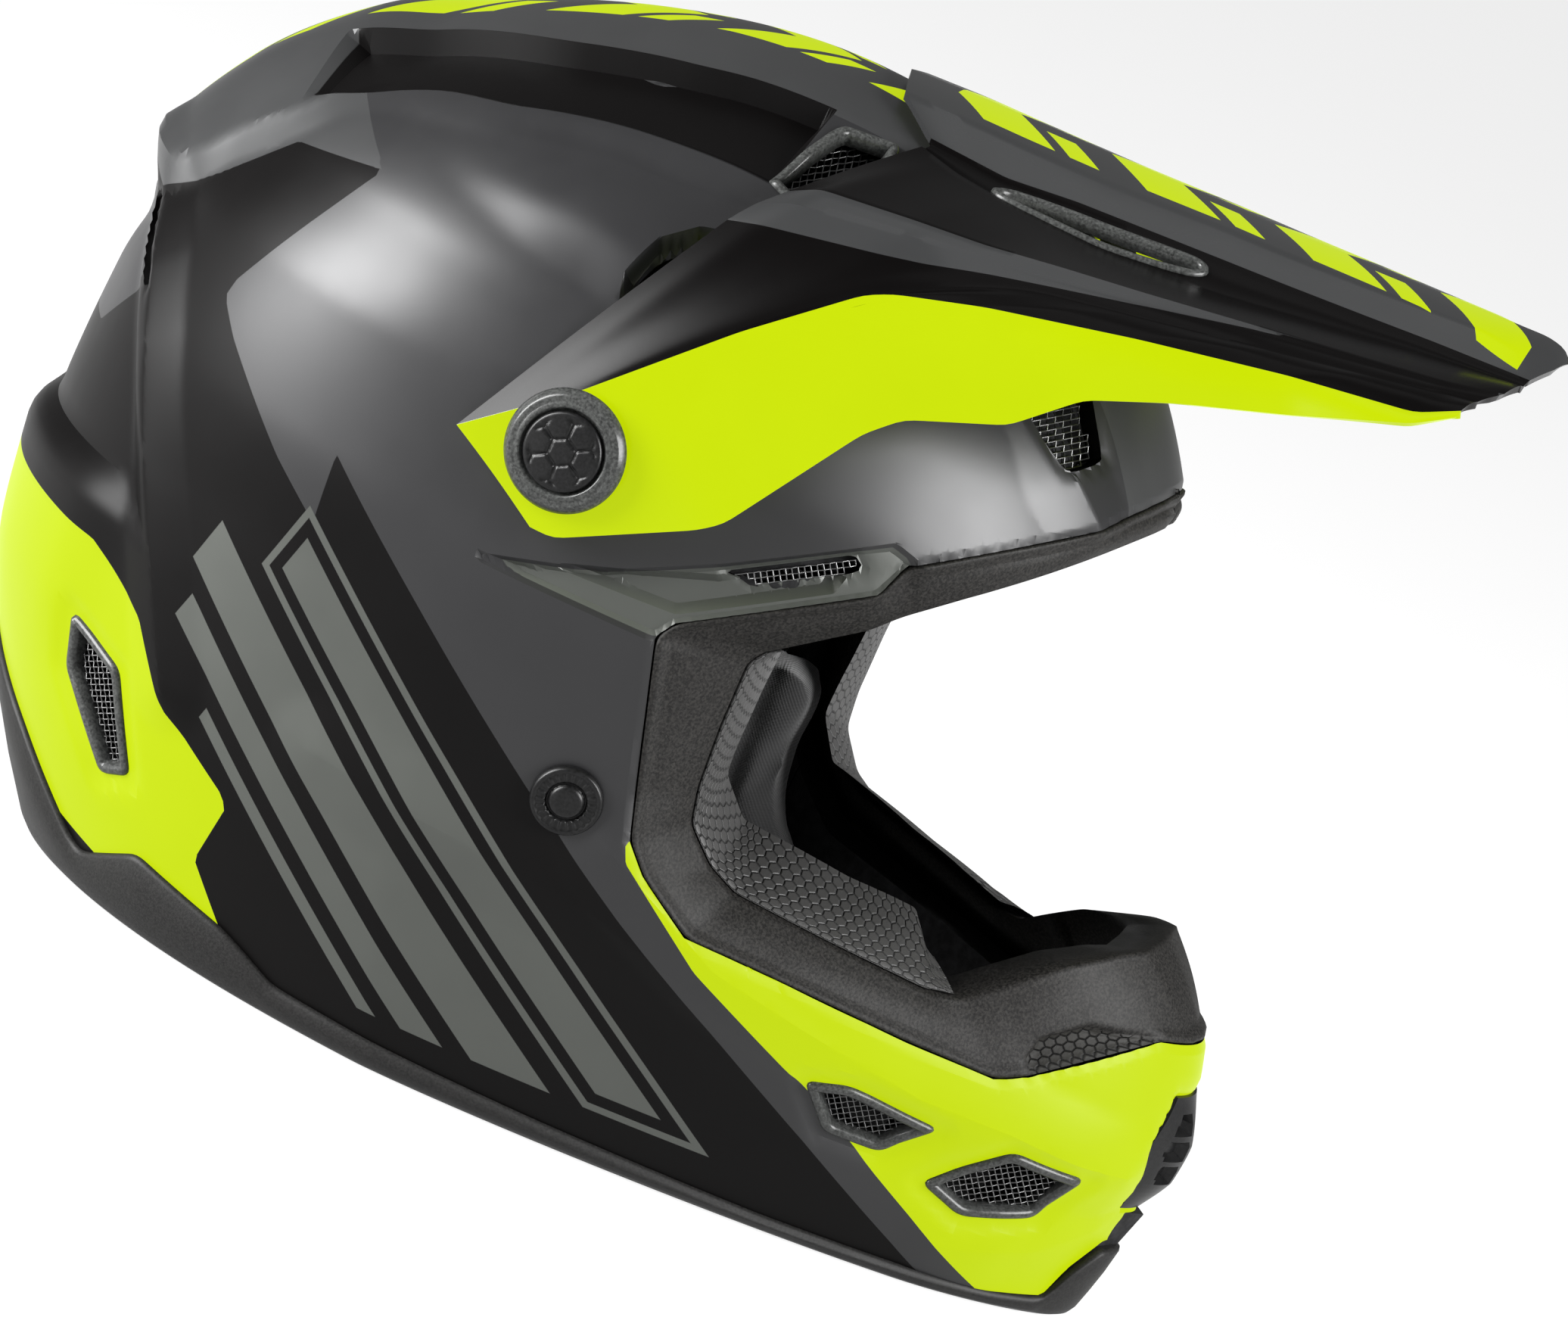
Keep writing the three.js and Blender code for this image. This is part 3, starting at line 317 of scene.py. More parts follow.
def add_mesh(name, verts, faces, material, smooth=True, attributes=None, mirror=False):
    """A new object from millimetre points."""
    verts = np.asarray(verts, float)
    if mirror:
        verts = verts * (-1, 1, 1)
        faces = [tuple(reversed(face)) for face in faces]
    mesh = bpy.data.meshes.new(name)
    mesh.from_pydata(world(verts).tolist(), [], [tuple(int(i) for i in face) for face in faces])
    mesh.polygons.foreach_set("use_smooth", [smooth] * len(mesh.polygons))
    for key, values in (attributes or {}).items():
        values = np.asarray(values, np.float32)
        if values.ndim == 1:
            mesh.attributes.new(key, "FLOAT", "POINT").data.foreach_set("value", values)
        else:
            mesh.attributes.new(key, "FLOAT_VECTOR", "POINT").data.foreach_set("vector", values.ravel())
    mesh.materials.append(material)
    mesh.validate()
    obj = bpy.data.objects.new(name, mesh)
    bpy.context.scene.collection.objects.link(obj)
    return obj


def grid_faces(rows, cols, wrap_rows=False, wrap_cols=False, flip=False):
    i = np.arange(rows if wrap_rows else rows - 1)[:, None]
    j = np.arange(cols if wrap_cols else cols - 1)[None]
    a = i * cols + j
    b = i * cols + (j + 1) % cols
    c = (i + 1) % rows * cols + (j + 1) % cols
    d = (i + 1) % rows * cols + j
    faces = np.stack([a, b, c, d], -1).reshape(-1, 4)
    return faces[:, ::-1] if flip else faces


def clip(verts, tris, field, extra):
    """Keeps the part of a triangle mesh where field is positive; extra is carried along."""
    keep = field > 0
    count = keep[tris].sum(1)
    whole = tris[count == 3]
    cut = tris[(count == 1) | (count == 2)]
    lone = np.where(keep[cut].sum(1) == 1, True, False)
    odd = np.where(lone, keep[cut].argmax(1), (~keep[cut]).argmax(1))
    rolled = np.take_along_axis(cut, (odd[:, None] + np.arange(3)) % 3, 1)
    a, b, c = rolled.T
    edges = np.concatenate([np.stack([a, b], 1), np.stack([a, c], 1)])
    low, high = edges.min(1), edges.max(1)
    pairs, index = np.unique(np.stack([low, high], 1), axis=0, return_inverse=True)
    index = index.ravel()
    x, y = pairs.T
    t = (field[x] / (field[x] - field[y]))[:, None]
    mix = lambda v: v[x] + (v[y] - v[x]) * (t if v.ndim == 2 else t[:, 0])
    base = len(verts)
    ab, ac = index[: len(a)] + base, index[len(a) :] + base
    one = np.stack([a, ab, ac], 1)[lone]
    two = np.concatenate([np.stack([ab, b, c], 1)[~lone], np.stack([ab, c, ac], 1)[~lone]])
    tris = np.concatenate([whole, one, two])
    verts = np.concatenate([verts, mix(verts)])
    extra = {k: np.concatenate([v, mix(v)]) for k, v in extra.items()}
    used, tris = np.unique(tris, return_inverse=True)
    return verts[used], tris.reshape(-1, 3), {k: v[used] for k, v in extra.items()}


def split(verts, tris, field):
    """Cuts a triangle mesh along field's zero line and keeps both sides."""
    field = np.where(np.abs(field) < 1e-3, 1e-3, field)
    keep = field > 0
    count = keep[tris].sum(1)
    whole = tris[(count == 0) | (count == 3)]
    cut = tris[(count == 1) | (count == 2)]
    odd = np.where(keep[cut].sum(1) == 1, keep[cut].argmax(1), (~keep[cut]).argmax(1))
    a, b, c = np.take_along_axis(cut, (odd[:, None] + np.arange(3)) % 3, 1).T
    edges = np.sort(np.concatenate([np.stack([a, b], 1), np.stack([a, c], 1)]), 1)
    pairs, index = np.unique(edges, axis=0, return_inverse=True)
    x, y = pairs.T
    t = (field[x] / (field[x] - field[y]))[:, None]
    index = index.ravel() + len(verts)
    ab, ac = index[: len(a)], index[len(a) :]
    verts = np.concatenate([verts, verts[x] + (verts[y] - verts[x]) * t])
    parts = [whole, np.stack([a, ab, ac], 1), np.stack([ab, b, c], 1), np.stack([ab, c, ac], 1)]
    return verts, np.concatenate(parts)


def beside(line, f, z, reach):
    """Signed distance to an open side-view line near it, and a plain 99 away from it."""
    best = np.full(f.shape, 1e9)
    sign = np.ones(f.shape)
    line = np.asarray(line, float)
    for (af, az), (bf, bz) in zip(line[:-1], line[1:]):
        ef, ez = bf - af, bz - az
        t = np.clip(((f - af) * ef + (z - az) * ez) / (ef * ef + ez * ez), 0, 1)
        d = np.hypot(f - af - t * ef, z - az - t * ez)
        side = np.where((f - af) * ez - (z - az) * ef > 0, 1, -1)
        sign = np.where(d < best, side, sign)
        best = np.minimum(best, d)
    return np.where(best < reach, best * sign, 99.0)


def fold_lines(verts):
    """The zero lines along which the shell's mesh is cut, so that its folds stay crisp."""
    def of(make):
        return make(np.abs(verts()[:, 0]), verts()[:, 1], verts()[:, 2])

    for off in (-2.2, 2.2):
        yield of(lambda s, f, z: np.where(f < 62, z - BACK_LOW(f) + off, 99.0))
    for off in (-1.1, 1.1):
        yield of(lambda s, f, z: np.where((z > 190) & (f > -132), STRIP_HALF(f) - s + off, 99.0))
    for off in (-1.4, 1.4):
        yield of(lambda s, f, z: np.where((z > 188) & (f > -132), FLUTE_LOW(f) - s + off, 99.0))
    for off in (-1.6, 1.6):
        yield of(lambda s, f, z: np.where((s > STRIP_HALF(f) - 3) & (s < FLUTE_LOW(f) + 3) & (z > 190), f + 127 + off, 99.0))
    for off in (-1.0, 1.0):
        yield of(lambda s, f, z: np.where((s > 36) & (s < 80) & (z > 215), f + 15 + off, 99.0))
    for line, _, _ in CREASES:
        yield of(lambda s, f, z: beside(line, f, z, 6))
    for outline in (RECESS, RECESS_DEEP):
        for off in (-1.1, 1.1):
            yield of(lambda s, f, z: inside(outline, f, z) + off)
    yield of(lambda s, f, z: inside(PORT, f, z) + 2.2)
    for off in (0.0, 1.8):
        yield of(lambda s, f, z: np.where(s > 60, inside(LOBE_MOUTH, f, z) + off, -99.0))


def with_lip(verts, tris, extra, depth):
    """Adds a wall going in along the normals at every open edge."""
    edges = np.concatenate([tris[:, [0, 1]], tris[:, [1, 2]], tris[:, [2, 0]]])
    key = np.sort(edges, 1)
    _, first, counts = np.unique(key, axis=0, return_index=True, return_counts=True)
    rim = edges[first[counts == 1]]
    ids = np.unique(rim)
    top = {v: len(verts) + i for i, v in enumerate(ids)}
    low = {v: len(verts) + len(ids) + i for i, v in enumerate(ids)}
    inner = verts[ids] - extra["normal"][ids] * depth
    quads = [(top[b], top[a], low[a], low[b]) for a, b in rim]
    verts = np.concatenate([verts, verts[ids], inner])
    sunk = {"hivis": -9.0, "black": 9.0, "strip": -9.0, "recess": -9.0}
    twice = np.concatenate([ids, ids])
    extra = {k: np.concatenate([v, np.full(len(twice), sunk[k]) if k in sunk else v[twice]]) for k, v in extra.items()}
    return verts, [tuple(t) for t in tris] + quads, extra


# ------------------------------------------------------------------ outlines as loops


def rounded(outline, radius, spacing=1.2):
    """A closed outline with rounded corners, resampled evenly."""
    pts = np.asarray(outline, float)
    path = []
    for i in range(len(pts)):
        here, before, after = pts[i], pts[i - 1], pts[(i + 1) % len(pts)]
        a = before - here
        b = after - here
        ra = min(radius, np.linalg.norm(a) * 0.45)
        rb = min(radius, np.linalg.norm(b) * 0.45)
        p, q = here + a / np.linalg.norm(a) * ra, here + b / np.linalg.norm(b) * rb
        for t in np.linspace(0, 1, 7):
            path.append((1 - t) ** 2 * p + 2 * t * (1 - t) * here + t * t * q)
    return resample(np.array(path), spacing=spacing, closed=True)


def resample(path, spacing=None, count=None, closed=False):
    path = np.asarray(path, float)
    if closed:
        path = np.vstack([path, path[:1]])
    length = np.concatenate([[0], np.cumsum(np.linalg.norm(np.diff(path, axis=0), axis=1))])
    count = count or max(4, int(round(length[-1] / spacing)))
    at = np.linspace(0, length[-1], count + 1)[:-1] if closed else np.linspace(0, length[-1], count)
    return np.stack([np.interp(at, length, path[:, k]) for k in range(path.shape[1])], -1)


def signed_area(loop):
    x, y = loop[:, 0], loop[:, 1]
    return 0.5 * np.sum(x * np.roll(y, -1) - y * np.roll(x, -1))


def sweep(points, normals, profile, name, material, mirror=False):
    """A closed bead along a loop; the profile is (away from the loop's middle, along the normal)."""
    ahead = np.roll(points, -1, 0) - np.roll(points, 1, 0)
    ahead /= np.linalg.norm(ahead, axis=1, keepdims=True)
    away = np.cross(ahead, normals)
    away /= np.linalg.norm(away, axis=1, keepdims=True)
    middle = points.mean(0)
    if np.sum(away * (points - middle)) < 0:
        away = -away
        turn = True
    else:
        turn = False
    rows = [points + away * u + normals * v for u, v in profile]
    verts = np.concatenate(rows)
    faces = grid_faces(len(profile), len(points), wrap_rows=True, wrap_cols=True, flip=turn)
    return add_mesh(name, verts, faces, material, mirror=mirror)


# ------------------------------------------------------------------ node helpers


class Graph:
    """Short hand for building a node tree."""

    def __init__(self, tree):
        self.tree = tree

    def node(self, kind, links=None, **settings):
        n = self.tree.nodes.new(kind)
        for key, value in settings.items():
            setattr(n, key, value)
        for key, value in (links or {}).items():
            self.feed(n.inputs[key], value)
        return n

    def feed(self, socket, value):
        if isinstance(value, bpy.types.NodeSocket):
            self.tree.links.new(value, socket)
        else:
            socket.default_value = value

    def math(self, operation, a, b=0.0, c=0.0, clamp=False):
        n = self.node("ShaderNodeMath", operation=operation, use_clamp=clamp)
        for socket, value in zip(n.inputs, (a, b, c)):
            self.feed(socket, value)
        return n.outputs[0]

    def vector(self, operation, a, b=(0, 0, 0), scale=None):
        n = self.node("ShaderNodeVectorMath", operation=operation)
        self.feed(n.inputs[0], a)
        self.feed(n.inputs[1], b)
        if scale is not None:
            self.feed(n.inputs["Scale"], scale)
        return n.outputs["Value"] if operation in ("DOT_PRODUCT", "LENGTH", "DISTANCE") else n.outputs[0]

    def mix(self, factor, a, b):
        n = self.node("ShaderNodeMix", data_type="RGBA")
        self.feed(n.inputs["Factor"], factor)
        self.feed(n.inputs[6], a)
        self.feed(n.inputs[7], b)
        return n.outputs[2]

    def span(self, value, low, high, to_low=0.0, to_high=1.0):
        n = self.node("ShaderNodeMapRange")
        for key, v in (("Value", value), ("From Min", low), ("From Max", high), ("To Min", to_low), ("To Max", to_high)):
            self.feed(n.inputs[key], v)
        return n.outputs[0]

    def noise(self, where, scale, detail=2.0, rough=0.5):
        n = self.node("ShaderNodeTexNoise")
        self.feed(n.inputs["Vector"], where)
        self.feed(n.inputs["Scale"], scale)
        self.feed(n.inputs["Detail"], detail)
        self.feed(n.inputs["Roughness"], rough)
        return n.outputs["Fac"]

    def attribute(self, name, output="Fac"):
        return self.node("ShaderNodeAttribute", attribute_name=name).outputs[output]


def shader_group(name, inputs, outputs):
    tree = bpy.data.node_groups.new(name, "ShaderNodeTree")
    kinds = {"value": "NodeSocketFloat", "vector": "NodeSocketVector", "colour": "NodeSocketColor"}
    for label, kind, default in inputs:
        socket = tree.interface.new_socket(label, in_out="INPUT", socket_type=kinds[kind])
        if default is not None:
            socket.default_value = default
    for label, kind in outputs:
        tree.interface.new_socket(label, in_out="OUTPUT", socket_type=kinds[kind])
    g = Graph(tree)
    return g, g.node("NodeGroupInput").outputs, g.node("NodeGroupOutput").inputs


def use_group(g, tree, **values):
    n = g.node("ShaderNodeGroup", node_tree=tree)
    for key, value in values.items():
        g.feed(n.inputs[key.replace("_", " ")], value)
    return n.outputs


# Fine grain: bump height and a roughness change, from object coordinates.
def grain_group():
    g, i, o = shader_group(
        "fine grain",
        [("Position", "vector", None), ("Size", "value", 0.0008), ("Blotch", "value", 0.02)],
        [("Height", "value"), ("Patch", "value")],
    )
    per_metre = g.math("DIVIDE", 1.0, i["Size"])
    fine = g.noise(i["Position"], per_metre, 3.0, 0.6)
    coarse = g.noise(i["Position"], g.math("DIVIDE", 1.0, i["Blotch"]), 3.0, 0.55)
    g.feed(o["Height"], fine)
    g.feed(o["Patch"], coarse)
    return g.tree


# Hexagon cells in the plane of a two-dimensional coordinate in millimetres.
def hexagon_group():
    g, i, o = shader_group(
        "hexagon cells",
        [("Place", "vector", None), ("Cell", "value", 3.0), ("Groove", "value", 0.14)],
        [("Height", "value"), ("Groove", "value")],
    )
    scaled = g.vector("SCALE", i["Place"], scale=g.math("DIVIDE", 1.0, i["Cell"]))
    flat = g.vector("MULTIPLY", scaled, (1.0, 1.0, 0.0))
    period = (1.0, math.sqrt(3), 1.0)
    half = (0.5, math.sqrt(3) / 2, 0.0)
    first = g.vector("SUBTRACT", wrapped(g, flat, period), half)
    second = g.vector("SUBTRACT", wrapped(g, g.vector("SUBTRACT", flat, half), period), half)
    nearer = g.math("LESS_THAN", g.vector("DOT_PRODUCT", first, first), g.vector("DOT_PRODUCT", second, second))
    pick = g.node("ShaderNodeMix", data_type="VECTOR")
    g.feed(pick.inputs["Factor"], nearer)
    g.feed(pick.inputs[4], second)
    g.feed(pick.inputs[5], first)
    cell = g.vector("ABSOLUTE", pick.outputs[1])
    slope = g.vector("DOT_PRODUCT", cell, (0.5, math.sqrt(3) / 2, 0.0))
    flat_side = g.node("ShaderNodeSeparateXYZ", {"Vector": cell}).outputs["X"]
    edge = g.math("SUBTRACT", 0.5, g.math("MAXIMUM", slope, flat_side))
    groove = g.span(edge, 0.0, i["Groove"], 1.0, 0.0)
    g.feed(o["Groove"], groove)
    g.feed(o["Height"], g.math("SUBTRACT", 1.0, g.math("POWER", groove, 2.0)))
    return g.tree


def wrapped(g, v, period):
    n = g.node("ShaderNodeVectorMath", operation="WRAP")
    g.feed(n.inputs[0], v)
    g.feed(n.inputs[1], period)
    g.feed(n.inputs[2], (0.0, 0.0, 0.0))
    return n.outputs[0]


# A knitted or woven cloth: two crossing waves, from a position in metres.
def weave_group():
    g, i, o = shader_group(
        "weave",
        [("Position", "vector", None), ("Thread", "value", 0.0008), ("Slant", "value", 0.5)],
        [("Height", "value"), ("Fleck", "value")],
    )
    turn = 2 * math.pi
    per = g.math("DIVIDE", turn, i["Thread"])
    x, y, z = g.node("ShaderNodeSeparateXYZ", {"Vector": i["Position"]}).outputs
    wobble = g.math("MULTIPLY", g.noise(i["Position"], 90.0, 2.0), 0.0012)
    u = g.math("ADD", g.math("ADD", y, g.math("MULTIPLY", x, i["Slant"])), wobble)
    v = g.math("ADD", z, g.math("MULTIPLY", x, i["Slant"]))
    a = g.math("SINE", g.math("MULTIPLY", u, per))
    b = g.math("SINE", g.math("MULTIPLY", v, per))
    g.feed(o["Height"], g.math("MULTIPLY_ADD", g.math("MULTIPLY", a, b), 0.5, 0.5))
    g.feed(o["Fleck"], g.noise(i["Position"], 600.0, 2.0, 0.7))
    return g.tree


GRAIN, HEXAGONS, WEAVE = grain_group(), hexagon_group(), weave_group()


def material(name):
    m = bpy.data.materials.new(name)
    m.use_nodes = True
    tree = m.node_tree
    tree.nodes.clear()
    g = Graph(tree)
    shader = g.node("ShaderNodeBsdfPrincipled")
    g.node("ShaderNodeOutputMaterial", {"Surface": shader.outputs[0]})
    place = g.node("ShaderNodeTexCoord").outputs["Object"]
    return m, g, shader.inputs, place


def bump(g, height, distance, strength=1.0, normal=None):
    n = g.node("ShaderNodeBump")
    g.feed(n.inputs["Height"], height)
    n.inputs["Distance"].default_value = distance
    n.inputs["Strength"].default_value = strength
    if normal is not None:
        g.feed(n.inputs["Normal"], normal)
    return n.outputs[0]


HI_VIS = (0.050, 0.062, 0.0, 1)
# A painted glow for the fluorescent yellow, given out whatever light falls on it.
HI_VIS_PAINTED_GLOW = (0.46, 0.60, 0.0, 1)
CHARCOAL = (0.0100, 0.0100, 0.0108, 1)
BLACK = (0.0012, 0.0010, 0.0010, 1)
MID_GREY = (0.022, 0.0225, 0.023, 1)
GREEN_GREY = (0.041, 0.044, 0.039, 1)


def side_place(g, place):
    """Sideways distance from the middle, forward and up, in millimetres, from object coordinates."""
    n = g.node("ShaderNodeVectorMath", operation="MULTIPLY_ADD")
    g.feed(n.inputs[0], place)
    n.inputs[1].default_value = (-1000, -1000, 1000)
    n.inputs[2].default_value = (0, SHIFT, 0)
    full = n.outputs[0]
    s, f, z = g.node("ShaderNodeSeparateXYZ", {"Vector": full}).outputs
    return full, g.math("ABSOLUTE", s), f, z


def convex(g, full, outline):
    """Signed distance to a convex side-view outline, positive inside."""
    pts = np.asarray(outline, float)
    if signed_area(pts) < 0:
        pts = pts[::-1]
    out = None
    for a, b in zip(pts, np.roll(pts, -1, 0)):
        e = (b - a) / np.linalg.norm(b - a)
        n = np.array([-e[1], e[0]])
        d = g.math("SUBTRACT", g.vector("DOT_PRODUCT", full, (0.0, float(n[0]), float(n[1]))), float(n @ a))
        out = d if out is None else g.math("MINIMUM", out, d)
    return out


def blade_group():
    """Slanting bars on the lower side: an outline with a filled core, or a plain bar."""
    g, i, o = shader_group("slanting bars", [("Place", "vector", None), ("Edge", "value", 1.7)], [("Mask", "value")])
    along, away, start = np.array([0.8, -0.6]), np.array([-0.6, -0.8]), np.array([-75.0, 131.0])
    floor = 14.0
    total = None
    for near, far, top, core in ((6, 25, 3, 4.6), (30, 42, -4, 0), (46.5, 53, 8, 0), (57, 60, 34, 0)):
        ends = []
        for o_ in (near, far):
            head = start + along * (top + (o_ - near) * 0.35) + away * o_
            t = (start[1] + away[1] * o_ - floor) / 0.6
            ends.append((head, start + along * t + away * o_))
        shape = convex(g, i["Place"], [ends[0][0], ends[0][1], ends[1][1], ends[1][0]])
        if core:
            ring = g.math("SUBTRACT", i["Edge"], shape)
            ring = g.math("MINIMUM", shape, ring)
            shape = g.math("MAXIMUM", ring, g.math("SUBTRACT", shape, core))
        total = shape if total is None else g.math("MAXIMUM", total, shape)
    g.feed(o["Mask"], total)
    return g.tree


def dash_group():
    """Broken slanting dashes along a raised strip, at a distance from the middle."""
    g, i, o = shader_group(
        "strip dashes",
        [("Along", "value", 0.0), ("Across", "value", 0.0), ("Pitch", "value", 40.0), ("Slope", "value", 0.8),
         ("Reach", "value", 19.0)],
        [("Mask", "value")],
    )
    u = g.math("DIVIDE", g.math("ADD", i["Along"], g.math("MULTIPLY", i["Across"], i["Slope"])), i["Pitch"])
    t = g.math("FRACT", u)
    long = g.math("MINIMUM", g.math("SUBTRACT", t, 0.03), g.math("SUBTRACT", 0.47, t))
    short = g.math("MINIMUM", g.math("SUBTRACT", t, 0.56), g.math("SUBTRACT", 0.74, t))
    low = g.math("SUBTRACT", i["Across"], 6.5)
    high = g.math("DIVIDE", g.math("SUBTRACT", i["Reach"], i["Across"]), i["Pitch"])
    short = g.math("MINIMUM", short, g.math("DIVIDE", low, i["Pitch"]))
    mask = g.math("MINIMUM", g.math("MAXIMUM", long, short), high)
    g.feed(o["Mask"], g.math("MULTIPLY", mask, i["Pitch"]))
    return g.tree


BARS, DASHES = blade_group(), dash_group()


def paint(name, layers, rough, coat, marks):
    """Painted plastic: a base colour, then each attribute's colour where the attribute is positive."""
    m, g, inputs, place = material(name)
    full, s, f, z = side_place(g, place)
    grain = use_group(g, GRAIN, Position=place, Size=0.0011, Blotch=0.03)
    colour = layers[0]
    for key, layer in layers[1:]:
        if key == "hivis":
            colour = marks(g, colour, full, s, f, z)
        edge = g.span(g.attribute(key), -0.07, 0.07)
        colour = g.mix(edge, colour, layer)
    tint = g.span(grain["Patch"], 0.3, 0.7, 0.95, 1.04)
    shade = g.node("ShaderNodeVectorMath", operation="SCALE")
    g.feed(shade.inputs[0], colour)
    g.feed(shade.inputs["Scale"], tint)
    g.feed(inputs["Base Color"], shade.outputs[0])
    g.feed(inputs["Roughness"], g.span(grain["Patch"], 0.3, 0.7, rough * 0.93, rough * 1.07))
    # The fluorescent yellow carries a painted glow: an emission that lights it evenly under any lamp, over a dim base
    # colour.
    _, level, blue = g.node("ShaderNodeSeparateColor", {"Color": colour}).outputs
    painted_glow = g.math("GREATER_THAN", g.math("SUBTRACT", level, blue), 0.03)
    # The greys hold metal flake, the black and the fluorescent paint none.
    flake = g.math("MULTIPLY", g.span(level, 0.002, 0.009), g.math("SUBTRACT", 1.0, painted_glow))
    g.feed(inputs["Metallic"], g.math("MULTIPLY", flake, 0.25))
    g.feed(inputs["Specular IOR Level"], g.span(flake, 0.0, 1.0, 0.09, 0.46))
    g.feed(inputs["Emission Color"], g.mix(painted_glow, (0, 0, 0, 1), HI_VIS_PAINTED_GLOW))
    inputs["Emission Strength"].default_value = 1.0
    inputs["Coat Weight"].default_value = coat
    inputs["Coat Roughness"].default_value = 0.1
    g.feed(inputs["Normal"], bump(g, grain["Height"], 0.00002, 0.3))
    return m


def shell_marks(g, colour, full, s, f, z):
    bars = use_group(g, BARS, Place=full)["Mask"]
    colour = g.mix(g.span(bars, -0.07, 0.07), colour, GREEN_GREY)
    across = g.math("DIVIDE", s, g.span(f, -120.0, -50.0, 1.5, 1.0))
    dashes = use_group(g, DASHES, Along=f, Across=across, Pitch=40.0, Slope=0.8, Reach=19.0)["Mask"]
    ends = g.math("MINIMUM", g.math("SUBTRACT", z, 184.0), g.math("SUBTRACT", 42.0, f))
    dashes = g.math("MINIMUM", dashes, ends)
    return g.mix(g.span(dashes, -0.07, 0.07), colour, HI_VIS)


def peak_marks(g, colour, full, s, f, z):
    dashes = use_group(g, DASHES, Along=f, Across=s, Pitch=44.0, Slope=-0.7, Reach=21.0)["Mask"]
    ends = g.math("MINIMUM", g.math("SUBTRACT", f, 5.0), g.math("SUBTRACT", 160.0, f))
    dashes = g.math("MINIMUM", g.math("MINIMUM", dashes, ends), g.math("SUBTRACT", z, 255.0))
    return g.mix(g.span(dashes, -0.07, 0.07), colour, HI_VIS)


def plastic(name, colour, rough, size=0.0007, depth=0.00004, strength=0.5, coat=0.0):
    """Plain moulded plastic or rubber with a fine grain."""
    m, g, inputs, place = material(name)
    grain = use_group(g, GRAIN, Position=place, Size=size, Blotch=0.02)
    fleck = g.span(grain["Height"], 0.35, 0.7, 0.45, 1.75)
    base = g.node("ShaderNodeVectorMath", operation="SCALE")
    base.inputs[0].default_value = colour[:3]
    g.feed(base.inputs["Scale"], fleck)
    g.feed(inputs["Base Color"], base.outputs[0])
    g.feed(inputs["Roughness"], g.span(grain["Patch"], 0.3, 0.7, rough * 0.92, min(1.0, rough * 1.08)))
    inputs["Coat Weight"].default_value = coat
    inputs["Specular IOR Level"].default_value = 0.2
    g.feed(inputs["Normal"], bump(g, grain["Height"], depth, strength))
    return m


def cloth(name, colour, thread, slant=0.5, sheen=0.3):
    m, g, inputs, place = material(name)
    weave = use_group(g, WEAVE, Position=place, Thread=thread, Slant=slant)
    # The weave's low places, where the threads dip, are painted darker: painted shade of the weave's relief, under
    # random flecks.
    shade = g.span(weave["Height"], 0.0, 1.0, 0.45, 1.25)
    fleck = g.span(weave["Fleck"], 0.3, 0.7, 0.8, 1.2)
    base = g.node("ShaderNodeVectorMath", operation="SCALE")
    base.inputs[0].default_value = colour[:3]
    g.feed(base.inputs["Scale"], g.math("MULTIPLY", shade, fleck))
    g.feed(inputs["Base Color"], base.outputs[0])
    inputs["Roughness"].default_value = 0.9
    inputs["Sheen Weight"].default_value = sheen
    inputs["Sheen Roughness"].default_value = 0.5
    g.feed(inputs["Normal"], bump(g, weave["Height"], 0.00018, 0.8))
    return m


def metal(name, colour, rough):
    m, g, inputs, place = material(name)
    grain = use_group(g, GRAIN, Position=place, Size=0.0005, Blotch=0.006)
    inputs["Base Color"].default_value = colour
    inputs["Metallic"].default_value = 1.0
    g.feed(inputs["Roughness"], g.span(grain["Patch"], 0.3, 0.7, rough * 0.8, rough * 1.2))
    g.feed(inputs["Normal"], bump(g, grain["Height"], 0.00001, 0.4))
    return m


SHELL_PAINT = paint(
    "shell paint",
    [CHARCOAL, ("black", BLACK), ("strip", MID_GREY), ("recess", GREEN_GREY), ("flute", BLACK), ("hivis", HI_VIS)],
    0.41, 0.0, shell_marks,
)
VISOR_PAINT = paint(
    "peak paint", [BLACK, ("stripe", MID_GREY), ("top", MID_GREY), ("hivis", HI_VIS)], 0.24, 0.0, peak_marks
)
RUBBER = plastic("grained rubber", (0.0065, 0.0063, 0.0061, 1), 0.55, size=0.0006, depth=0.00006, strength=0.6)
BEZEL = plastic("satin grey plastic", (0.026, 0.027, 0.026, 1), 0.32, coat=0.1)
DARK_PLASTIC = plastic("black plastic", (0.003, 0.003, 0.0031, 1), 0.36)
FOAM = plastic("black foam", (0.008, 0.008, 0.0085, 1), 0.85, size=0.003, depth=0.0002)
COMFORT = cloth("knitted comfort cloth", (0.0055, 0.0055, 0.0058, 1), 0.0011)
BROW_CLOTH = cloth("open woven cloth", (0.0095, 0.009, 0.0085, 1), 0.0022, slant=0.8)
WEBBING = cloth("strap webbing", (0.012, 0.012, 0.0125, 1), 0.0015, slant=0.0)
WIRE = metal("dark wire", (0.12, 0.12, 0.12, 1), 0.35)
STEEL = metal("brushed steel", (0.45, 0.46, 0.47, 1), 0.3)


def hex_pad_material():
    m, g, inputs, place = material("honeycomb pad")
    cells = use_group(g, HEXAGONS, Place=g.attribute("flat", "Vector"), Cell=3.4, Groove=0.16)
    grain = use_group(g, GRAIN, Position=place, Size=0.0006, Blotch=0.02)
    # The grooves between the cells are painted near black: painted shade in the grooves.
    colour = g.mix(cells["Groove"], (0.022, 0.0215, 0.021, 1), (0.004, 0.004, 0.004, 1))
    g.feed(inputs["Base Color"], colour)
    g.feed(inputs["Roughness"], g.span(grain["Patch"], 0.3, 0.7, 0.5, 0.62))
    relief = g.math("MULTIPLY_ADD", grain["Height"], 0.15, cells["Height"])
    g.feed(inputs["Normal"], bump(g, relief, 0.0006, 0.8))
    return m


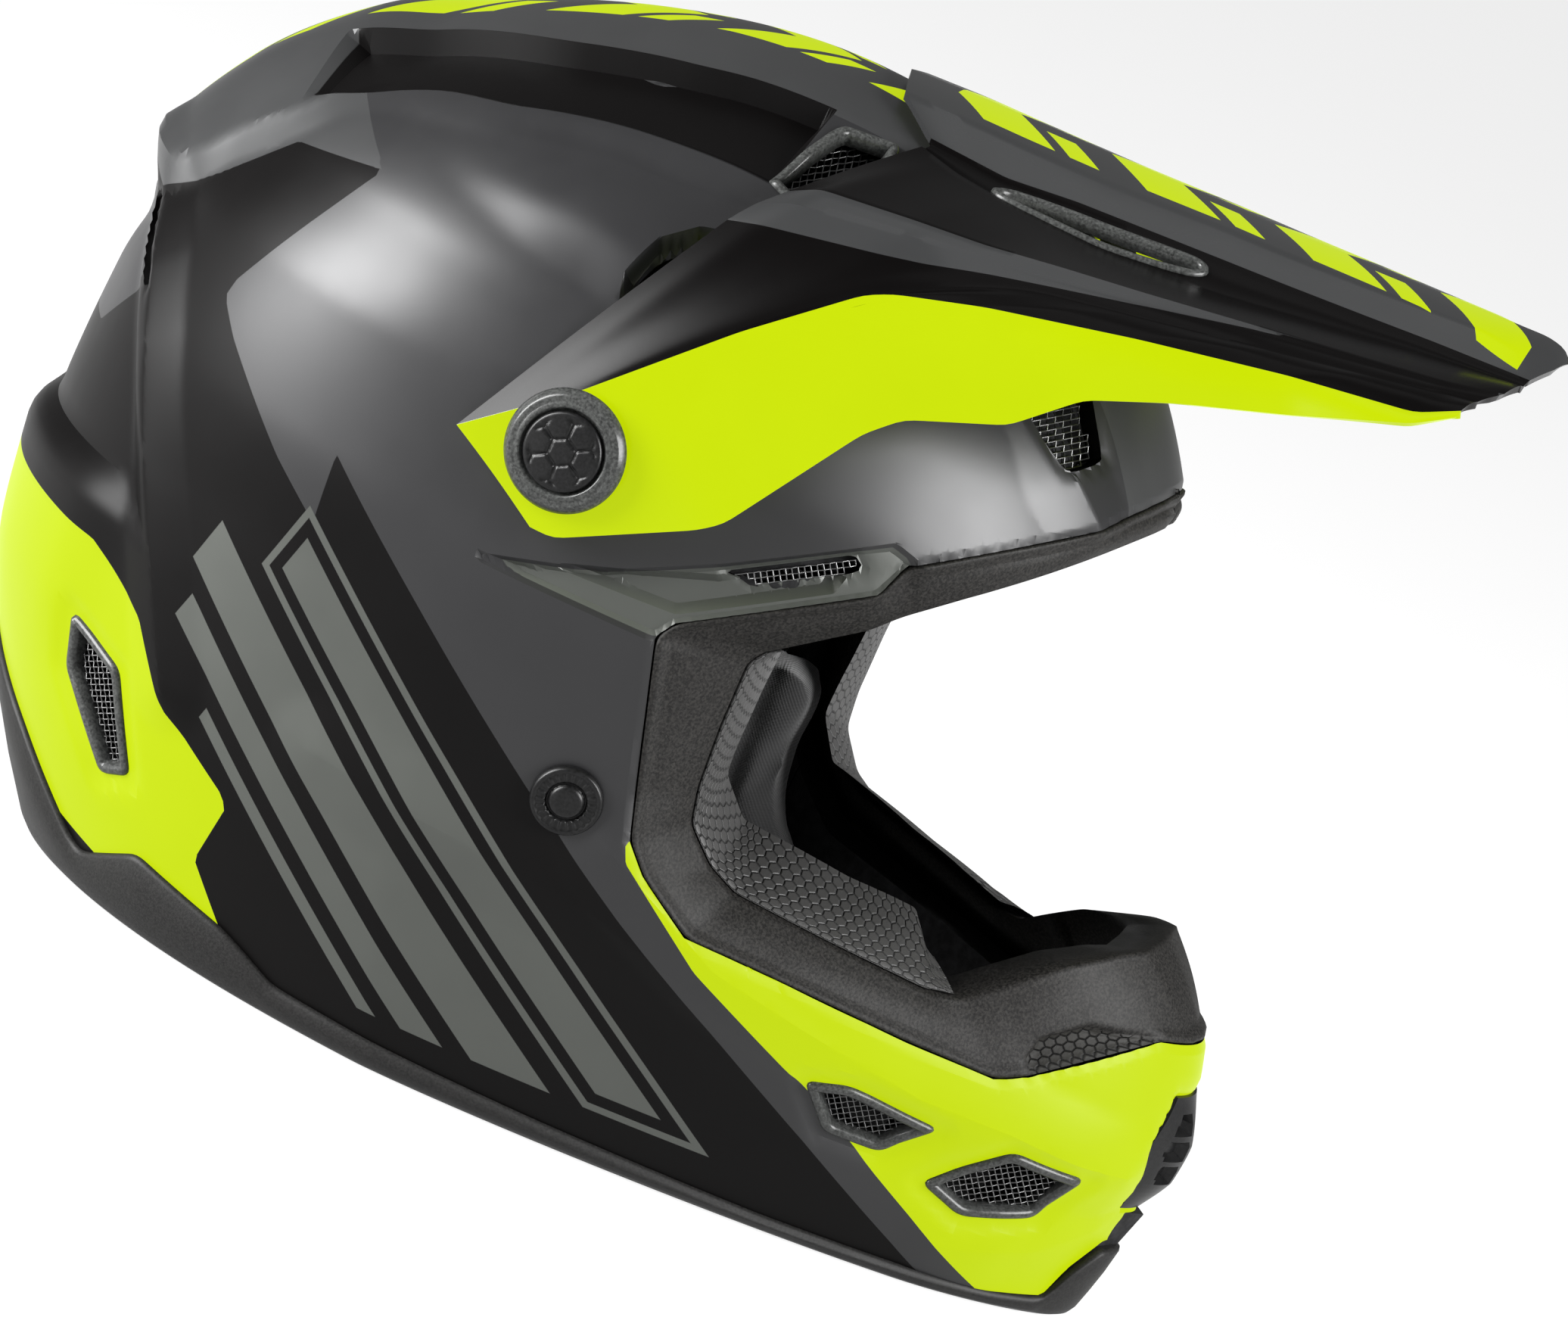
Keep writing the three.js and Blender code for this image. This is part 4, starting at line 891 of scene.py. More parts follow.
def gasket_material():
    """Speckled rubber; where the attribute window is positive it is a sunk honeycomb."""
    m, g, inputs, place = material("speckled gasket rubber")
    grain = use_group(g, GRAIN, Position=place, Size=0.0007, Blotch=0.02)
    cells = use_group(g, HEXAGONS, Place=g.attribute("flat", "Vector"), Cell=2.3, Groove=0.16)
    opened = g.span(g.attribute("window"), 0.2, 0.9)
    fleck = g.span(grain["Height"], 0.38, 0.66, 0.3, 2.0)
    plain = g.node("ShaderNodeVectorMath", operation="SCALE")
    plain.inputs[0].default_value = (0.0085, 0.0080, 0.0074)
    g.feed(plain.inputs["Scale"], fleck)
    # The sunk honeycomb's grooves are painted almost black: painted shade in the grooves.
    comb = g.mix(cells["Groove"], (0.012, 0.0115, 0.010, 1), (0.001, 0.001, 0.001, 1))
    g.feed(inputs["Base Color"], g.mix(opened, plain.outputs[0], comb))
    g.feed(inputs["Roughness"], g.span(grain["Patch"], 0.3, 0.7, 0.52, 0.62))
    inputs["Specular IOR Level"].default_value = 0.15
    relief = g.math("MULTIPLY_ADD", g.math("MULTIPLY", cells["Height"], opened), 4.0, grain["Height"])
    g.feed(inputs["Normal"], bump(g, relief, 0.0001, 0.7))
    return m


HEX_PAD, GASKET_RUBBER = hex_pad_material(), gasket_material()

# ------------------------------------------------------------------ shell


def shell_rows(spacing):
    z = np.linspace(-4, 254, 800)
    rear, front, half = (RING_AT[i](z) for i in range(3))
    size = (front - rear) / 4 + half / 2
    arc = np.concatenate([[0], np.cumsum(np.hypot(np.diff(z), np.diff(size)))])
    heights = np.interp(np.linspace(0, arc[-1], int(arc[-1] / spacing)), arc, z)
    a = np.linspace(0, math.pi, 900)
    cols = int(430 * 2.1 / spacing / 2)
    rows = []
    for zz in heights:
        s, f = ring_point(np.full(a.shape, zz), a)
        length = np.concatenate([[0], np.cumsum(np.hypot(np.diff(s), np.diff(f)))])
        at = np.linspace(0, length[-1], cols + 1)
        s, f = np.interp(at, length, s), np.interp(at, length, f)
        s[0] = s[-1] = 0
        ring = np.stack([s, f, np.full(s.shape, zz)], -1)
        rows.append(np.concatenate([ring, (ring * (-1, 1, 1))[-2:0:-1]]))
    top = rows[-1]
    centre = np.array([0, -15.0, 254])
    shares = np.linspace(1, 0.02, int(45 / spacing))[1:]
    for share in shares:
        row = centre + (top - centre) * share
        row[:, 2] = 254 + 7 * (1 - share**2)
        rows.append(row)
    return np.array(rows)


def skin_mesh(spacing, folds=True):
    """The bare skin as triangles facing out: points, normals and triangles."""
    grid = shell_rows(spacing)
    m, n = grid.shape[:2]
    around = np.roll(grid, -1, 1) - np.roll(grid, 1, 1)
    up = np.gradient(grid, axis=0)
    normal = np.cross(around, up)
    normal /= np.linalg.norm(normal, axis=-1, keepdims=True) + 1e-12
    outward = np.sum(normal * (grid - (0, -20, 110)), -1)
    normal[outward < 0] *= -1
    flat = np.concatenate([grid.reshape(-1, 3), normal.reshape(-1, 3)], 1)
    quads = grid_faces(m, n, wrap_cols=True)
    tris = np.concatenate([quads[:, [0, 1, 2]], quads[:, [0, 2, 3]]])
    pole = len(flat)
    flat = np.vstack([flat, [0, -15, 261, 0, 0, 1]])
    last = (m - 1) * n + np.arange(n)
    tris = np.concatenate([tris, np.stack([last, np.roll(last, -1), np.full(n, pole)], 1)])
    if folds:
        for field in fold_lines(lambda: flat[:, :3]):
            flat, tris = split(flat, tris, field)
    verts, normal = flat[:, :3], flat[:, 3:]
    normal = normal / np.linalg.norm(normal, axis=1, keepdims=True)
    face = np.cross(verts[tris[:, 1]] - verts[tris[:, 0]], verts[tris[:, 2]] - verts[tris[:, 0]])
    if np.sum(face * normal[tris[:, 0]]) < 0:
        tris = tris[:, ::-1]
    return verts, normal, tris


def cut_openings(verts, tris, extra):
    """Takes the eye port, the base, the vents and the mouth out of the skin."""
    fields = [lambda p: -inside(PORT, p[:, 1], p[:, 2]), lambda p: -inside(BASE_CUT, p[:, 1], p[:, 2])]
    for vent in VENTS.values():
        outline = rounded(vent["outline"], 2.0, 1.0)
        fields.append(lambda p, o=outline: np.where(np.abs(p[:, 0]) > 15, -inside(o, p[:, 1], p[:, 2]), 20.0))
    fields.append(lambda p: np.where(p[:, 1] > 120, -inside(rounded(MOUTH, 3), p[:, 0], p[:, 2]), 20.0))
    for make in fields:
        field = make(extra["side"])
        field = np.where(np.abs(field) < 1e-4, 1e-4, field)
        verts, tris, extra = clip(verts, tris, field, extra)
    return verts, tris, extra


def build_shell_inside():
    """The shell's plain dark inner face."""
    verts, normal, tris = skin_mesh(4.5, folds=False)
    deep = verts + normal * (np.minimum(sculpt(verts), 0) - 4.6)[:, None]
    deep, tris, _ = cut_openings(deep, tris, {"side": verts})
    obj = add_mesh("shell_inside", deep, tris[:, ::-1], FOAM)
    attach(obj, "helmet")


def build_shell():
    verts, normal, tris = skin_mesh(SPACING)
    s, f, z = np.abs(verts[:, 0]), verts[:, 1], verts[:, 2]

    masks = {}
    masks["hivis"] = np.maximum(inside(HI_VIS_REAR, f, z), inside(HI_VIS_CHIN, f, z))
    masks["black"] = inside(BLACK_SIDE, f, z)
    masks["recess"] = inside(RECESS, f, z)
    # The raised strip with its rear, and its flutes.
    rear_grey = np.minimum(inside([(-190, 176), (-163, 172), (-152, 166), (-124, 195), (-98, 201), (-118, 212),
                                   (-124, 240), (-190, 240)], f, z), 60)
    edge = FLUTE_LOW(f) + 0.6
    strip = np.minimum.reduce([STRIP_HALF(f) + 1.2 - s, z - 171, f + 125])
    masks["strip"] = np.maximum(strip, rear_grey)
    masks["flute"] = np.minimum.reduce([s - STRIP_HALF(f) + 1.2, edge - s, f + 127, z - 196, -14 - f])

    out = sculpt(verts)
    extra = {"normal": normal, "side": verts.copy(), **masks}
    verts = verts + normal * out[:, None]

    verts, tris, extra = cut_openings(verts, tris, extra)
    verts, faces, extra = with_lip(verts, tris, extra, 5.6)
    names = [k for k in extra if k not in ("normal", "side")]
    obj = add_mesh("shell", verts, faces, SHELL_PAINT, attributes={k: extra[k] for k in names})
    obj.data.set_sharp_from_angle(angle=math.radians(19))
    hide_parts("outer_shell")
    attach(obj, "helmet")


build_shell()
build_shell_inside()

# ------------------------------------------------------------------ gasket round the eye port

# Outer edge, inner edge, and how deep the inner edge lies, from the brow to the chin.
GASKET = [
    ((98, 202), (102, 195), 3),
    ((92, 196), (98, 192), 3),
    ((88, 192), (93, 187), 4),
    ((72, 182), (80, 175), 6),
    ((57, 172), (64, 160), 8),
    ((54, 163), (58, 153), 9),
    ((35, 151), (46, 144), 10),
    ((15, 138), (38, 138), 11),
    ((12, 133), (35, 133), 11),
    ((17, 114), (35, 115), 11),
    ((22, 95), (36, 98), 11),
    ((25, 84), (38, 88), 11),
    ((31, 77), (46, 80), 11),
    ((45, 67), (54, 76), 10),
    ((68, 65), (78, 74), 9),
    ((102, 61.5), (104, 72), 8),
    ((124, 60), (113, 74), 8),
    ((131, 63), (120, 80), 8),
    ((143, 72), (131, 91), 7),
    ((155, 80), (141, 98), 6),
    ((163, 80), (147, 101), 5),
]


WINDOW = [(131, -3), (131.5, 4), (135, 8.5), (144, 8.5), (149, 5), (155, 1.5), (155, -3)]  # along f, away from the edge


def gasket_lines(count):
    outer = np.array([g[0] for g in GASKET], float)
    inner = np.array([g[1] for g in GASKET], float)
    depth = np.array([g[2] for g in GASKET], float)
    step = np.linalg.norm(np.diff(outer, axis=0), axis=1) + np.linalg.norm(np.diff(inner, axis=0), axis=1)
    at = np.concatenate([[0], np.cumsum(step)])
    t = np.linspace(0, at[-1], count)
    line = lambda v: np.interp(t, at, v)
    outer = np.stack([line(outer[:, 0]), line(outer[:, 1])], -1)
    inner = np.stack([line(inner[:, 0]), line(inner[:, 1])], -1)
    for _ in range(2):
        outer[1:-1] = (outer[:-2] + 2 * outer[1:-1] + outer[2:]) / 4
        inner[1:-1] = (inner[:-2] + 2 * inner[1:-1] + inner[2:]) / 4
    return outer, inner, line(depth)


def build_gasket():
    outer, inner, depth = gasket_lines(230)
    at_outer, n_outer = surface(outer[:, 0], outer[:, 1])
    at_inner, n_inner = bare_skin(inner[:, 0], inner[:, 1])
    n_inner = n_outer * 0.35 + n_inner * 0.65
    n_inner /= np.linalg.norm(n_inner, axis=1, keepdims=True)
    # Both ends meet the mirrored half on the middle plane.
    for p in (at_outer, at_inner):
        for end in (0, -1):
            p[end, 0] = 0.0
    for n in (n_outer, n_inner):
        for end in (0, -1):
            n[end, 0] = 0
            n[end] /= np.linalg.norm(n[end])
    d = depth[:, None]
    low = at_inner - n_inner * d
    across = low - at_outer
    across /= np.linalg.norm(across, axis=1, keepdims=True)
    rows = [
        at_outer - n_outer * 6.6 - across * 1.0,
        at_outer - n_outer * 0.8 + across * 0.4,
        at_outer + n_outer * 0.7 + across * 0.6,
        at_outer + n_outer * 1.25 + across * 1.4,
        at_outer + n_outer * 1.2 + across * 2.6,
        at_outer + n_outer * 0.4 + across * 4.2,
    ]
    start = rows[-1]
    for share in np.linspace(0.05, 0.95, 22):
        rows.append(start + (low - start) * share + n_outer * 0.8 * math.sin(math.pi * share))
    rows += [
        low + n_inner * 0.1,
        low - n_inner * 0.8 + across * 0.4,
        low - n_inner * 3 + across * 0.6,
        low - n_inner * 12 + across * 1.2,
    ]
    grid = np.array(rows)
    # A window at the chin, where a honeycomb lies deeper.
    away = np.sum((grid - at_outer) * across, -1)
    window = inside(WINDOW, np.broadcast_to(outer[:, 0], away.shape), away)
    grid = grid - n_outer * (2.4 * band(window / 1.4 - 0.2) * (away > 0.9))[..., None]
    flat = np.stack([np.broadcast_to(outer[:, 0] * 1.1, away.shape), away, 0 * away], -1)
    left = slice(-2, 0, -1)
    loop = np.concatenate([grid, (grid * (-1, 1, 1))[:, left]], 1)
    both = lambda v: np.concatenate([v, v[:, left]], 1)
    m, n = loop.shape[:2]
    obj = add_mesh("eyeport_gasket", loop.reshape(-1, 3), grid_faces(m, n, wrap_rows=True, wrap_cols=True), GASKET_RUBBER,
                   attributes={"window": both(window).ravel(), "flat": both(flat).reshape(-1, 3)})
    orient(obj, (0, 60, 130), outward=True)
    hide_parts("eyeport_trim")
    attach(obj, "helmet")

    # The honeycomb pad lies inside the gasket's inner edge along its rear and lower runs.
    first, last = 72, 192
    base = (low - n_inner * 1.5 + across * 1.0)[first:last]
    n_pad = n_inner[first:last]
    go = across[first:last] * 0.55 - n_pad * 0.85
    go /= np.linalg.norm(go, axis=1, keepdims=True)
    taper = np.ones((len(base), 1))
    ends = np.minimum(np.arange(len(base)), np.arange(len(base))[::-1])
    taper[:, 0] = 0.35 + 0.65 * ramp(ends / 12)
    profile = [(-2, -4), (0, 0.4), (1.5, 1.6), (5, 2.4), (11, 2.2), (17, 1.0), (22, -1.5), (26, -6)]
    rows = [base + go * u * taper + n_pad * v for u, v in profile]
    grid = np.array(rows)
    length = np.concatenate([[0], np.cumsum(np.linalg.norm(np.diff(base, axis=0), axis=1))])
    width = np.array([0, 3, 5, 8.5, 14.5, 20, 25, 30], float)
    flat = np.stack(np.broadcast_arrays(length[None], width[:, None], np.zeros((1, 1))), -1)
    for side, flip in (("right", False), ("left", True)):
        obj = add_mesh(f"port_pad_{side}_soft", grid.reshape(-1, 3), grid_faces(*grid.shape[:2]), HEX_PAD,
                       attributes={"flat": flat.reshape(-1, 3)}, mirror=flip)
        orient(obj, (0, 60, 130) , outward=False)
        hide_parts(f"port_pad_{side}")
        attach(obj, "helmet")


def orient(obj, centre, outward=True):
    """Turns every face the same way round, so that the piece as a whole faces out of a point, or into it."""
    bm = bmesh.new()
    bm.from_mesh(obj.data)
    bmesh.ops.recalc_face_normals(bm, faces=bm.faces)
    middle = Vector(world(np.array(centre, float)))
    total = sum((face.normal.dot(face.calc_center_median() - middle)) * face.calc_area() for face in bm.faces)
    if (total < 0) == outward:
        bmesh.ops.reverse_faces(bm, faces=bm.faces)
    bm.to_mesh(obj.data)
    bm.free()


build_gasket()

# ------------------------------------------------------------------ base trim


def build_base_trim():
    edge = np.array([p for p in BASE_EDGE if -186 < p[0] < 186], float)
    edge = resample(edge, count=240)
    for _ in range(2):
        edge[1:-1] = (edge[:-2] + 2 * edge[1:-1] + edge[2:]) / 4
    rear = RING_AT[0](edge[:, 1]) + 0.02
    front = RING_AT[1](edge[:, 1]) - 0.02
    keep = (edge[:, 0] > rear) & (edge[:, 0] < front)
    edge = edge[keep]
    a = skin_angle(edge[:, 0], edge[:, 1])
    a[0], a[-1] = math.pi, 0
    height = edge[:, 1]
    order = np.argsort(-a)
    t = np.linspace(math.pi, 0, 260)
    height = np.interp(-t, -a[order], height[order])

    def at(z, proud):
        s, f = ring_point(z, t)
        p = np.stack([s, f, z + 0 * s], -1)
        _, n = bare_skin(np.clip(f, RING_AT[0](z) + 0.3, RING_AT[1](z) - 0.3), z)
        flat = n * (1, 1, 0.25)
        flat /= np.linalg.norm(flat, axis=1, keepdims=True)
        flat[0], flat[-1] = (0, -1, 0), (0, 1, 0)
        cut_back = blunt * (1.4 + 0.62 * NOSE_CUT(z))
        q = p + flat * (proud - cut_back)[:, None]
        q[0, 0] = q[-1, 0] = 0
        return q

    bulge = (0.6 + 2.2 * ramp((height - 8) / 25)) * ramp((2.2 - t) / 0.5 + 1)
    bulge = np.where(t < 0.9, bulge * ramp((t - 0.3) / 0.6), bulge)
    blunt = ramp((0.55 - t) / 0.4)
    rows = [
        at(height - 0.6, -4.0 + 0 * height),
        at(height + 0.4, 0.1 + 0 * height),
        at(height - 0.1, 1.3 + 0 * height),
        at(height - 1.0, 1.7 + 0 * height),
        at(height * 0.66, 1.8 + bulge),
        at(height * 0.33 + 1.0, 1.7 + bulge * 0.8),
        at(np.minimum(3.0, height * 0.3) + 0 * height, 1.5 + bulge * 0.3),
        at(np.full(t.shape, 1.0), 0.9 + 0 * height),
        at(np.full(t.shape, 0.0), -0.3 + 0 * height),
        at(np.full(t.shape, 0.0), -5.0 + 0 * height),
        at(np.full(t.shape, 1.2), -7.0 + 0 * height),
        at(np.full(t.shape, 6.0), -7.6 + 0 * height),
    ]
    grid = np.array(rows)
    left = (grid * (-1, 1, 1))[:, -2:0:-1]
    loop = np.concatenate([grid, left], 1)
    m, n = loop.shape[:2]
    obj = add_mesh("base_rubber", loop.reshape(-1, 3), grid_faces(m, n, wrap_cols=True), RUBBER)
    orient(obj, (0, 0, 20))
    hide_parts("base_trim")
    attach(obj, "helmet")


build_base_trim()

# ------------------------------------------------------------------ vents


def screen_tree():
    """Wires along every edge of a patch, for the vents' screens."""
    tree = bpy.data.node_groups.new("wire screen", "GeometryNodeTree")
    tree.interface.new_socket("Patch", in_out="INPUT", socket_type="NodeSocketGeometry")
    radius = tree.interface.new_socket("Wire radius", in_out="INPUT", socket_type="NodeSocketFloat")
    radius.default_value = 0.00022
    finish = tree.interface.new_socket("Wire", in_out="INPUT", socket_type="NodeSocketMaterial")
    tree.interface.new_socket("Screen", in_out="OUTPUT", socket_type="NodeSocketGeometry")
    g = Graph(tree)
    source = g.node("NodeGroupInput").outputs
    lines = g.node("GeometryNodeMeshToCurve", {"Mesh": source["Patch"]})
    ring = g.node("GeometryNodeCurvePrimitiveCircle", {"Resolution": 4, "Radius": source["Wire radius"]})
    wires = g.node("GeometryNodeCurveToMesh", {"Curve": lines.outputs[0], "Profile Curve": ring.outputs[0]})
    real = g.node("GeometryNodeRealizeInstances", {"Geometry": wires.outputs[0]})
    done = g.node("GeometryNodeSetMaterial", {"Geometry": real.outputs[0], "Material": source["Wire"]})
    g.node("NodeGroupOutput", {"Screen": done.outputs[0]})
    return tree, radius.identifier, finish.identifier


SCREEN, RADIUS_ID, FINISH_ID = screen_tree()


def as_screen(obj, radius, finish):
    """Runs the wire screen tree on a patch and keeps the result as a plain mesh."""
    mod = obj.modifiers.new("screen", "NODES")
    mod.node_group = SCREEN
    mod[RADIUS_ID] = radius
    mod[FINISH_ID] = finish
    depsgraph = bpy.context.evaluated_depsgraph_get()
    mesh = bpy.data.meshes.new_from_object(obj.evaluated_get(depsgraph))
    obj.modifiers.clear()
    obj.data = mesh
    mesh.polygons.foreach_set("use_smooth", [True] * len(mesh.polygons))


def weave_patch(outline, pitch, turn, depth):
    """Crossing rows of short edges over an outline on the skin, pushed in and out like a weave."""
    outline = np.asarray(outline, float)
    middle = outline.mean(0)
    reach = np.abs(outline - middle).max() * 1.5
    lines = np.arange(-reach, reach + pitch, pitch)
    c, s = math.cos(turn), math.sin(turn)
    u, v = np.meshgrid(lines, lines, indexing="ij")
    f = middle[0] + u * c - v * s
    z = middle[1] + u * s + v * c
    ok = inside(outline, f, z) > 0.1
    f, z = np.where(ok, f, middle[0]), np.where(ok, z, middle[1])
    p, n = bare_skin(f, z)
    sign = np.where((np.indices(f.shape).sum(0) % 2) == 0, 1, -1)
    p = p - n * (depth + 0.16 * sign)[..., None]
    index = np.full(ok.shape, -1)
    index[ok] = np.arange(ok.sum())
    edges = []
    for a, b in ((index[:-1], index[1:]), (index[:, :-1], index[:, 1:])):
        both = (a >= 0) & (b >= 0)
        edges.append(np.stack([a[both], b[both]], 1))
    return p[ok], np.concatenate(edges)


def build_vents():
    bezel_profile = [(0.1, -3.5), (0.1, 0.2), (-0.3, 0.9), (-1.0, 1.2), (-1.9, 1.1), (-2.6, 0.3), (-3.1, -2.8), (-1.6, -3.5)]
    for name, vent in VENTS.items():
        loop = rounded(vent["outline"], 2.4, 0.9)
        p, n = surface(loop[:, 0], loop[:, 1])
        core = rounded(vent["outline"], 2.0, 1.5)
        for side in ("right", "left"):
            flip = side == "left"
            if vent["bezel"]:
                obj = sweep(p, n, bezel_profile, f"{name}_bezel_{side}_part", BEZEL, mirror=flip)
                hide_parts(f"{name}_bezel_{side}")
                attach(obj, "helmet")
            points, edges = weave_patch(core, 1.45, 0.55, 3.4 + (name == "scoop_vent") * 1.5)
            mesh = bpy.data.meshes.new(name)
            mesh.from_pydata(world(points * ((-1, 1, 1) if flip else (1, 1, 1))).tolist(), edges.tolist(), [])
            obj = bpy.data.objects.new(f"{name}_screen_{side}", mesh)
            bpy.context.scene.collection.objects.link(obj)
            as_screen(obj, 0.00024, WIRE)
            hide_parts(f"{name}_mesh_{side}")
            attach(obj, "helmet")


build_vents()

# ------------------------------------------------------------------ mouth grille


def front_point(s, z, proud=0.0):
    """A point of the bare skin over a front-view place near the nose."""
    s, z = np.broadcast_arrays(np.asarray(s, float), np.asarray(z, float))
    low, high = np.zeros(s.shape), np.full(s.shape, 1.4)
    for _ in range(30):
        mid = (low + high) / 2
        narrow = ring_point(z, mid)[0] < np.abs(s)
        low = np.where(narrow, mid, low)
        high = np.where(narrow, high, mid)
    f = ring_point(z, low)[1]
    return np.stack([s, f + proud, z + 0 * s], -1)


def build_mouth():
    # A prow-shaped block with slots: rows across, columns up.
    z = np.linspace(34.5, 66.5, 24)
    width = np.interp(z, [34, 53, 67], [11.5, 17.5, 11.5])
    t = np.linspace(-1, 1, 41)
    s = t[None] * width[:, None]
    zz = np.broadcast_to(z[:, None], s.shape)
    base = front_point(s, zz)
    fade = ramp((base[..., 1] - 128) / 20) * ramp((42 - np.abs(s)) / 30)
    base[..., 1] -= NOSE_CUT(zz) * fade
    prow = 2.6 * (1 - np.abs(t)[None]) * np.minimum(1, np.minimum((zz - 34) / 9, (67 - zz) / 13))
    bars = np.abs((zz - 38.5) / 7 - np.round((zz - 38.5) / 7)) < 0.24
    slot = bars & (np.abs(s) < width[:, None] - 6) & (np.abs(s) > 2.2) & (zz > 41) & (zz < 61)
    skin = base.copy()
    skin[..., 1] += prow - 0.6 - 3.0 * slot
    rim = base.copy()
    rim[..., 1] -= 6
    grid = np.concatenate([rim[:1], skin, rim[-1:]])
    grid = np.concatenate([grid[:, :1] - (0, 6, 0), grid, grid[:, -1:] - (0, 6, 0)], 1)
    m, n = grid.shape[:2]
    obj = add_mesh("mouth_grille_part", grid.reshape(-1, 3), grid_faces(m, n), DARK_PLASTIC, smooth=False)
    orient(obj, (0, 100, 52))
    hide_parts("mouth_grille", "mouth_mesh")
    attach(obj, "helmet")


build_mouth()

# ------------------------------------------------------------------ peak

# Lines along the peak from its rear edge to its front edge, as (f, z, s).
PEAK = {
    "centre": [(-9, 266, 0), (11, 267.5, 0), (52, 269.5, 0), (93, 271.5, 0), (133, 274.3, 0), (162, 276.3, 0), (167, 275.4, 0), (169.5, 272.6, 0)],
    "strip": [(-3.5, 263.5, 26), (10, 264.3, 28), (29, 264.8, 28), (54, 266, 27.5), (80, 268.3, 26.5), (102, 269.6, 25), (122, 271, 23), (148, 272.8, 18), (167.5, 271.2, 12)],
    "foot": [(9, 258, 38), (30, 257.5, 38), (48, 259.8, 37), (80, 262.3, 36), (102, 263.8, 34), (122, 265.2, 31), (140, 266.4, 27), (164, 267.6, 22)],
    "gutter": [(10, 256.8, 38.7), (30, 256.2, 38.8), (48, 258.4, 38), (80, 261.2, 37), (102, 262.8, 35), (122, 264.4, 32), (140, 265.8, 28), (163.8, 267.2, 23)],
    "mid": [(9, 256.2, 45), (20, 254.8, 50), (33, 254.3, 53.5), (59, 253.8, 54), (76, 255, 50.5), (92, 256.8, 47.5), (112, 259.8, 43), (135, 263, 36.5), (163, 266.2, 27)],
    "shoulder": [(-8, 239, 90), (-1, 243, 91.5), (22, 246.3, 91.5), (40, 248.2, 89), (58, 251, 85.5), (78, 253.7, 81), (104, 257.2, 72.5), (130, 260.2, 61), (148, 262.2, 51), (161, 264, 38)],
    "ridge": [(-12, 234.5, 99), (-4, 238.3, 98.8), (24, 243.4, 97), (47, 246.4, 92), (80, 251.8, 84), (104, 255.6, 75.5), (130, 259, 63.5), (148, 261.2, 53), (159.5, 263, 42)],
    "stripe": [(-16, 228.5, 103), (-8, 231, 103), (20, 237, 101), (44, 242.6, 97.3), (79, 248.8, 89), (110, 254.2, 78.5), (132, 257.6, 67.5), (146, 259.5, 58), (157, 261, 48)],
    "band": [(-50, 160, 125.6), (-28, 179, 124.6), (1, 209, 120), (23, 229, 115), (29, 232, 113.5), (49, 238, 108), (83, 245.5, 97), (117, 251.5, 83), (146, 254.5, 66), (155, 258.5, 57)],
    "edge": [(-24, 146, 125.2), (-18, 146, 125.2), (12, 163, 123.5), (17, 167, 122.8), (37, 200, 117.5), (44, 207, 115.6), (66, 216, 110.8), (79, 228.5, 104.4), (97, 235.8, 97), (121, 243.5, 86), (147, 252.5, 70), (155, 257, 60)],
}
PEAK_SLOT = [(30, 47.5), (33, 43.5), (40, 42.6), (81, 39.2), (84.5, 40.6), (81, 44), (60, 50.3), (36, 51.2), (31.5, 50)]
PEAK_WALL = 1.8


def smooth_line(points, count, passes=3):
    line = resample(np.array(points, float), count=400)
    for _ in range(passes * 6):
        line[1:-1] = (line[:-2] + 2 * line[1:-1] + line[2:]) / 4
    return resample(line, count=count)


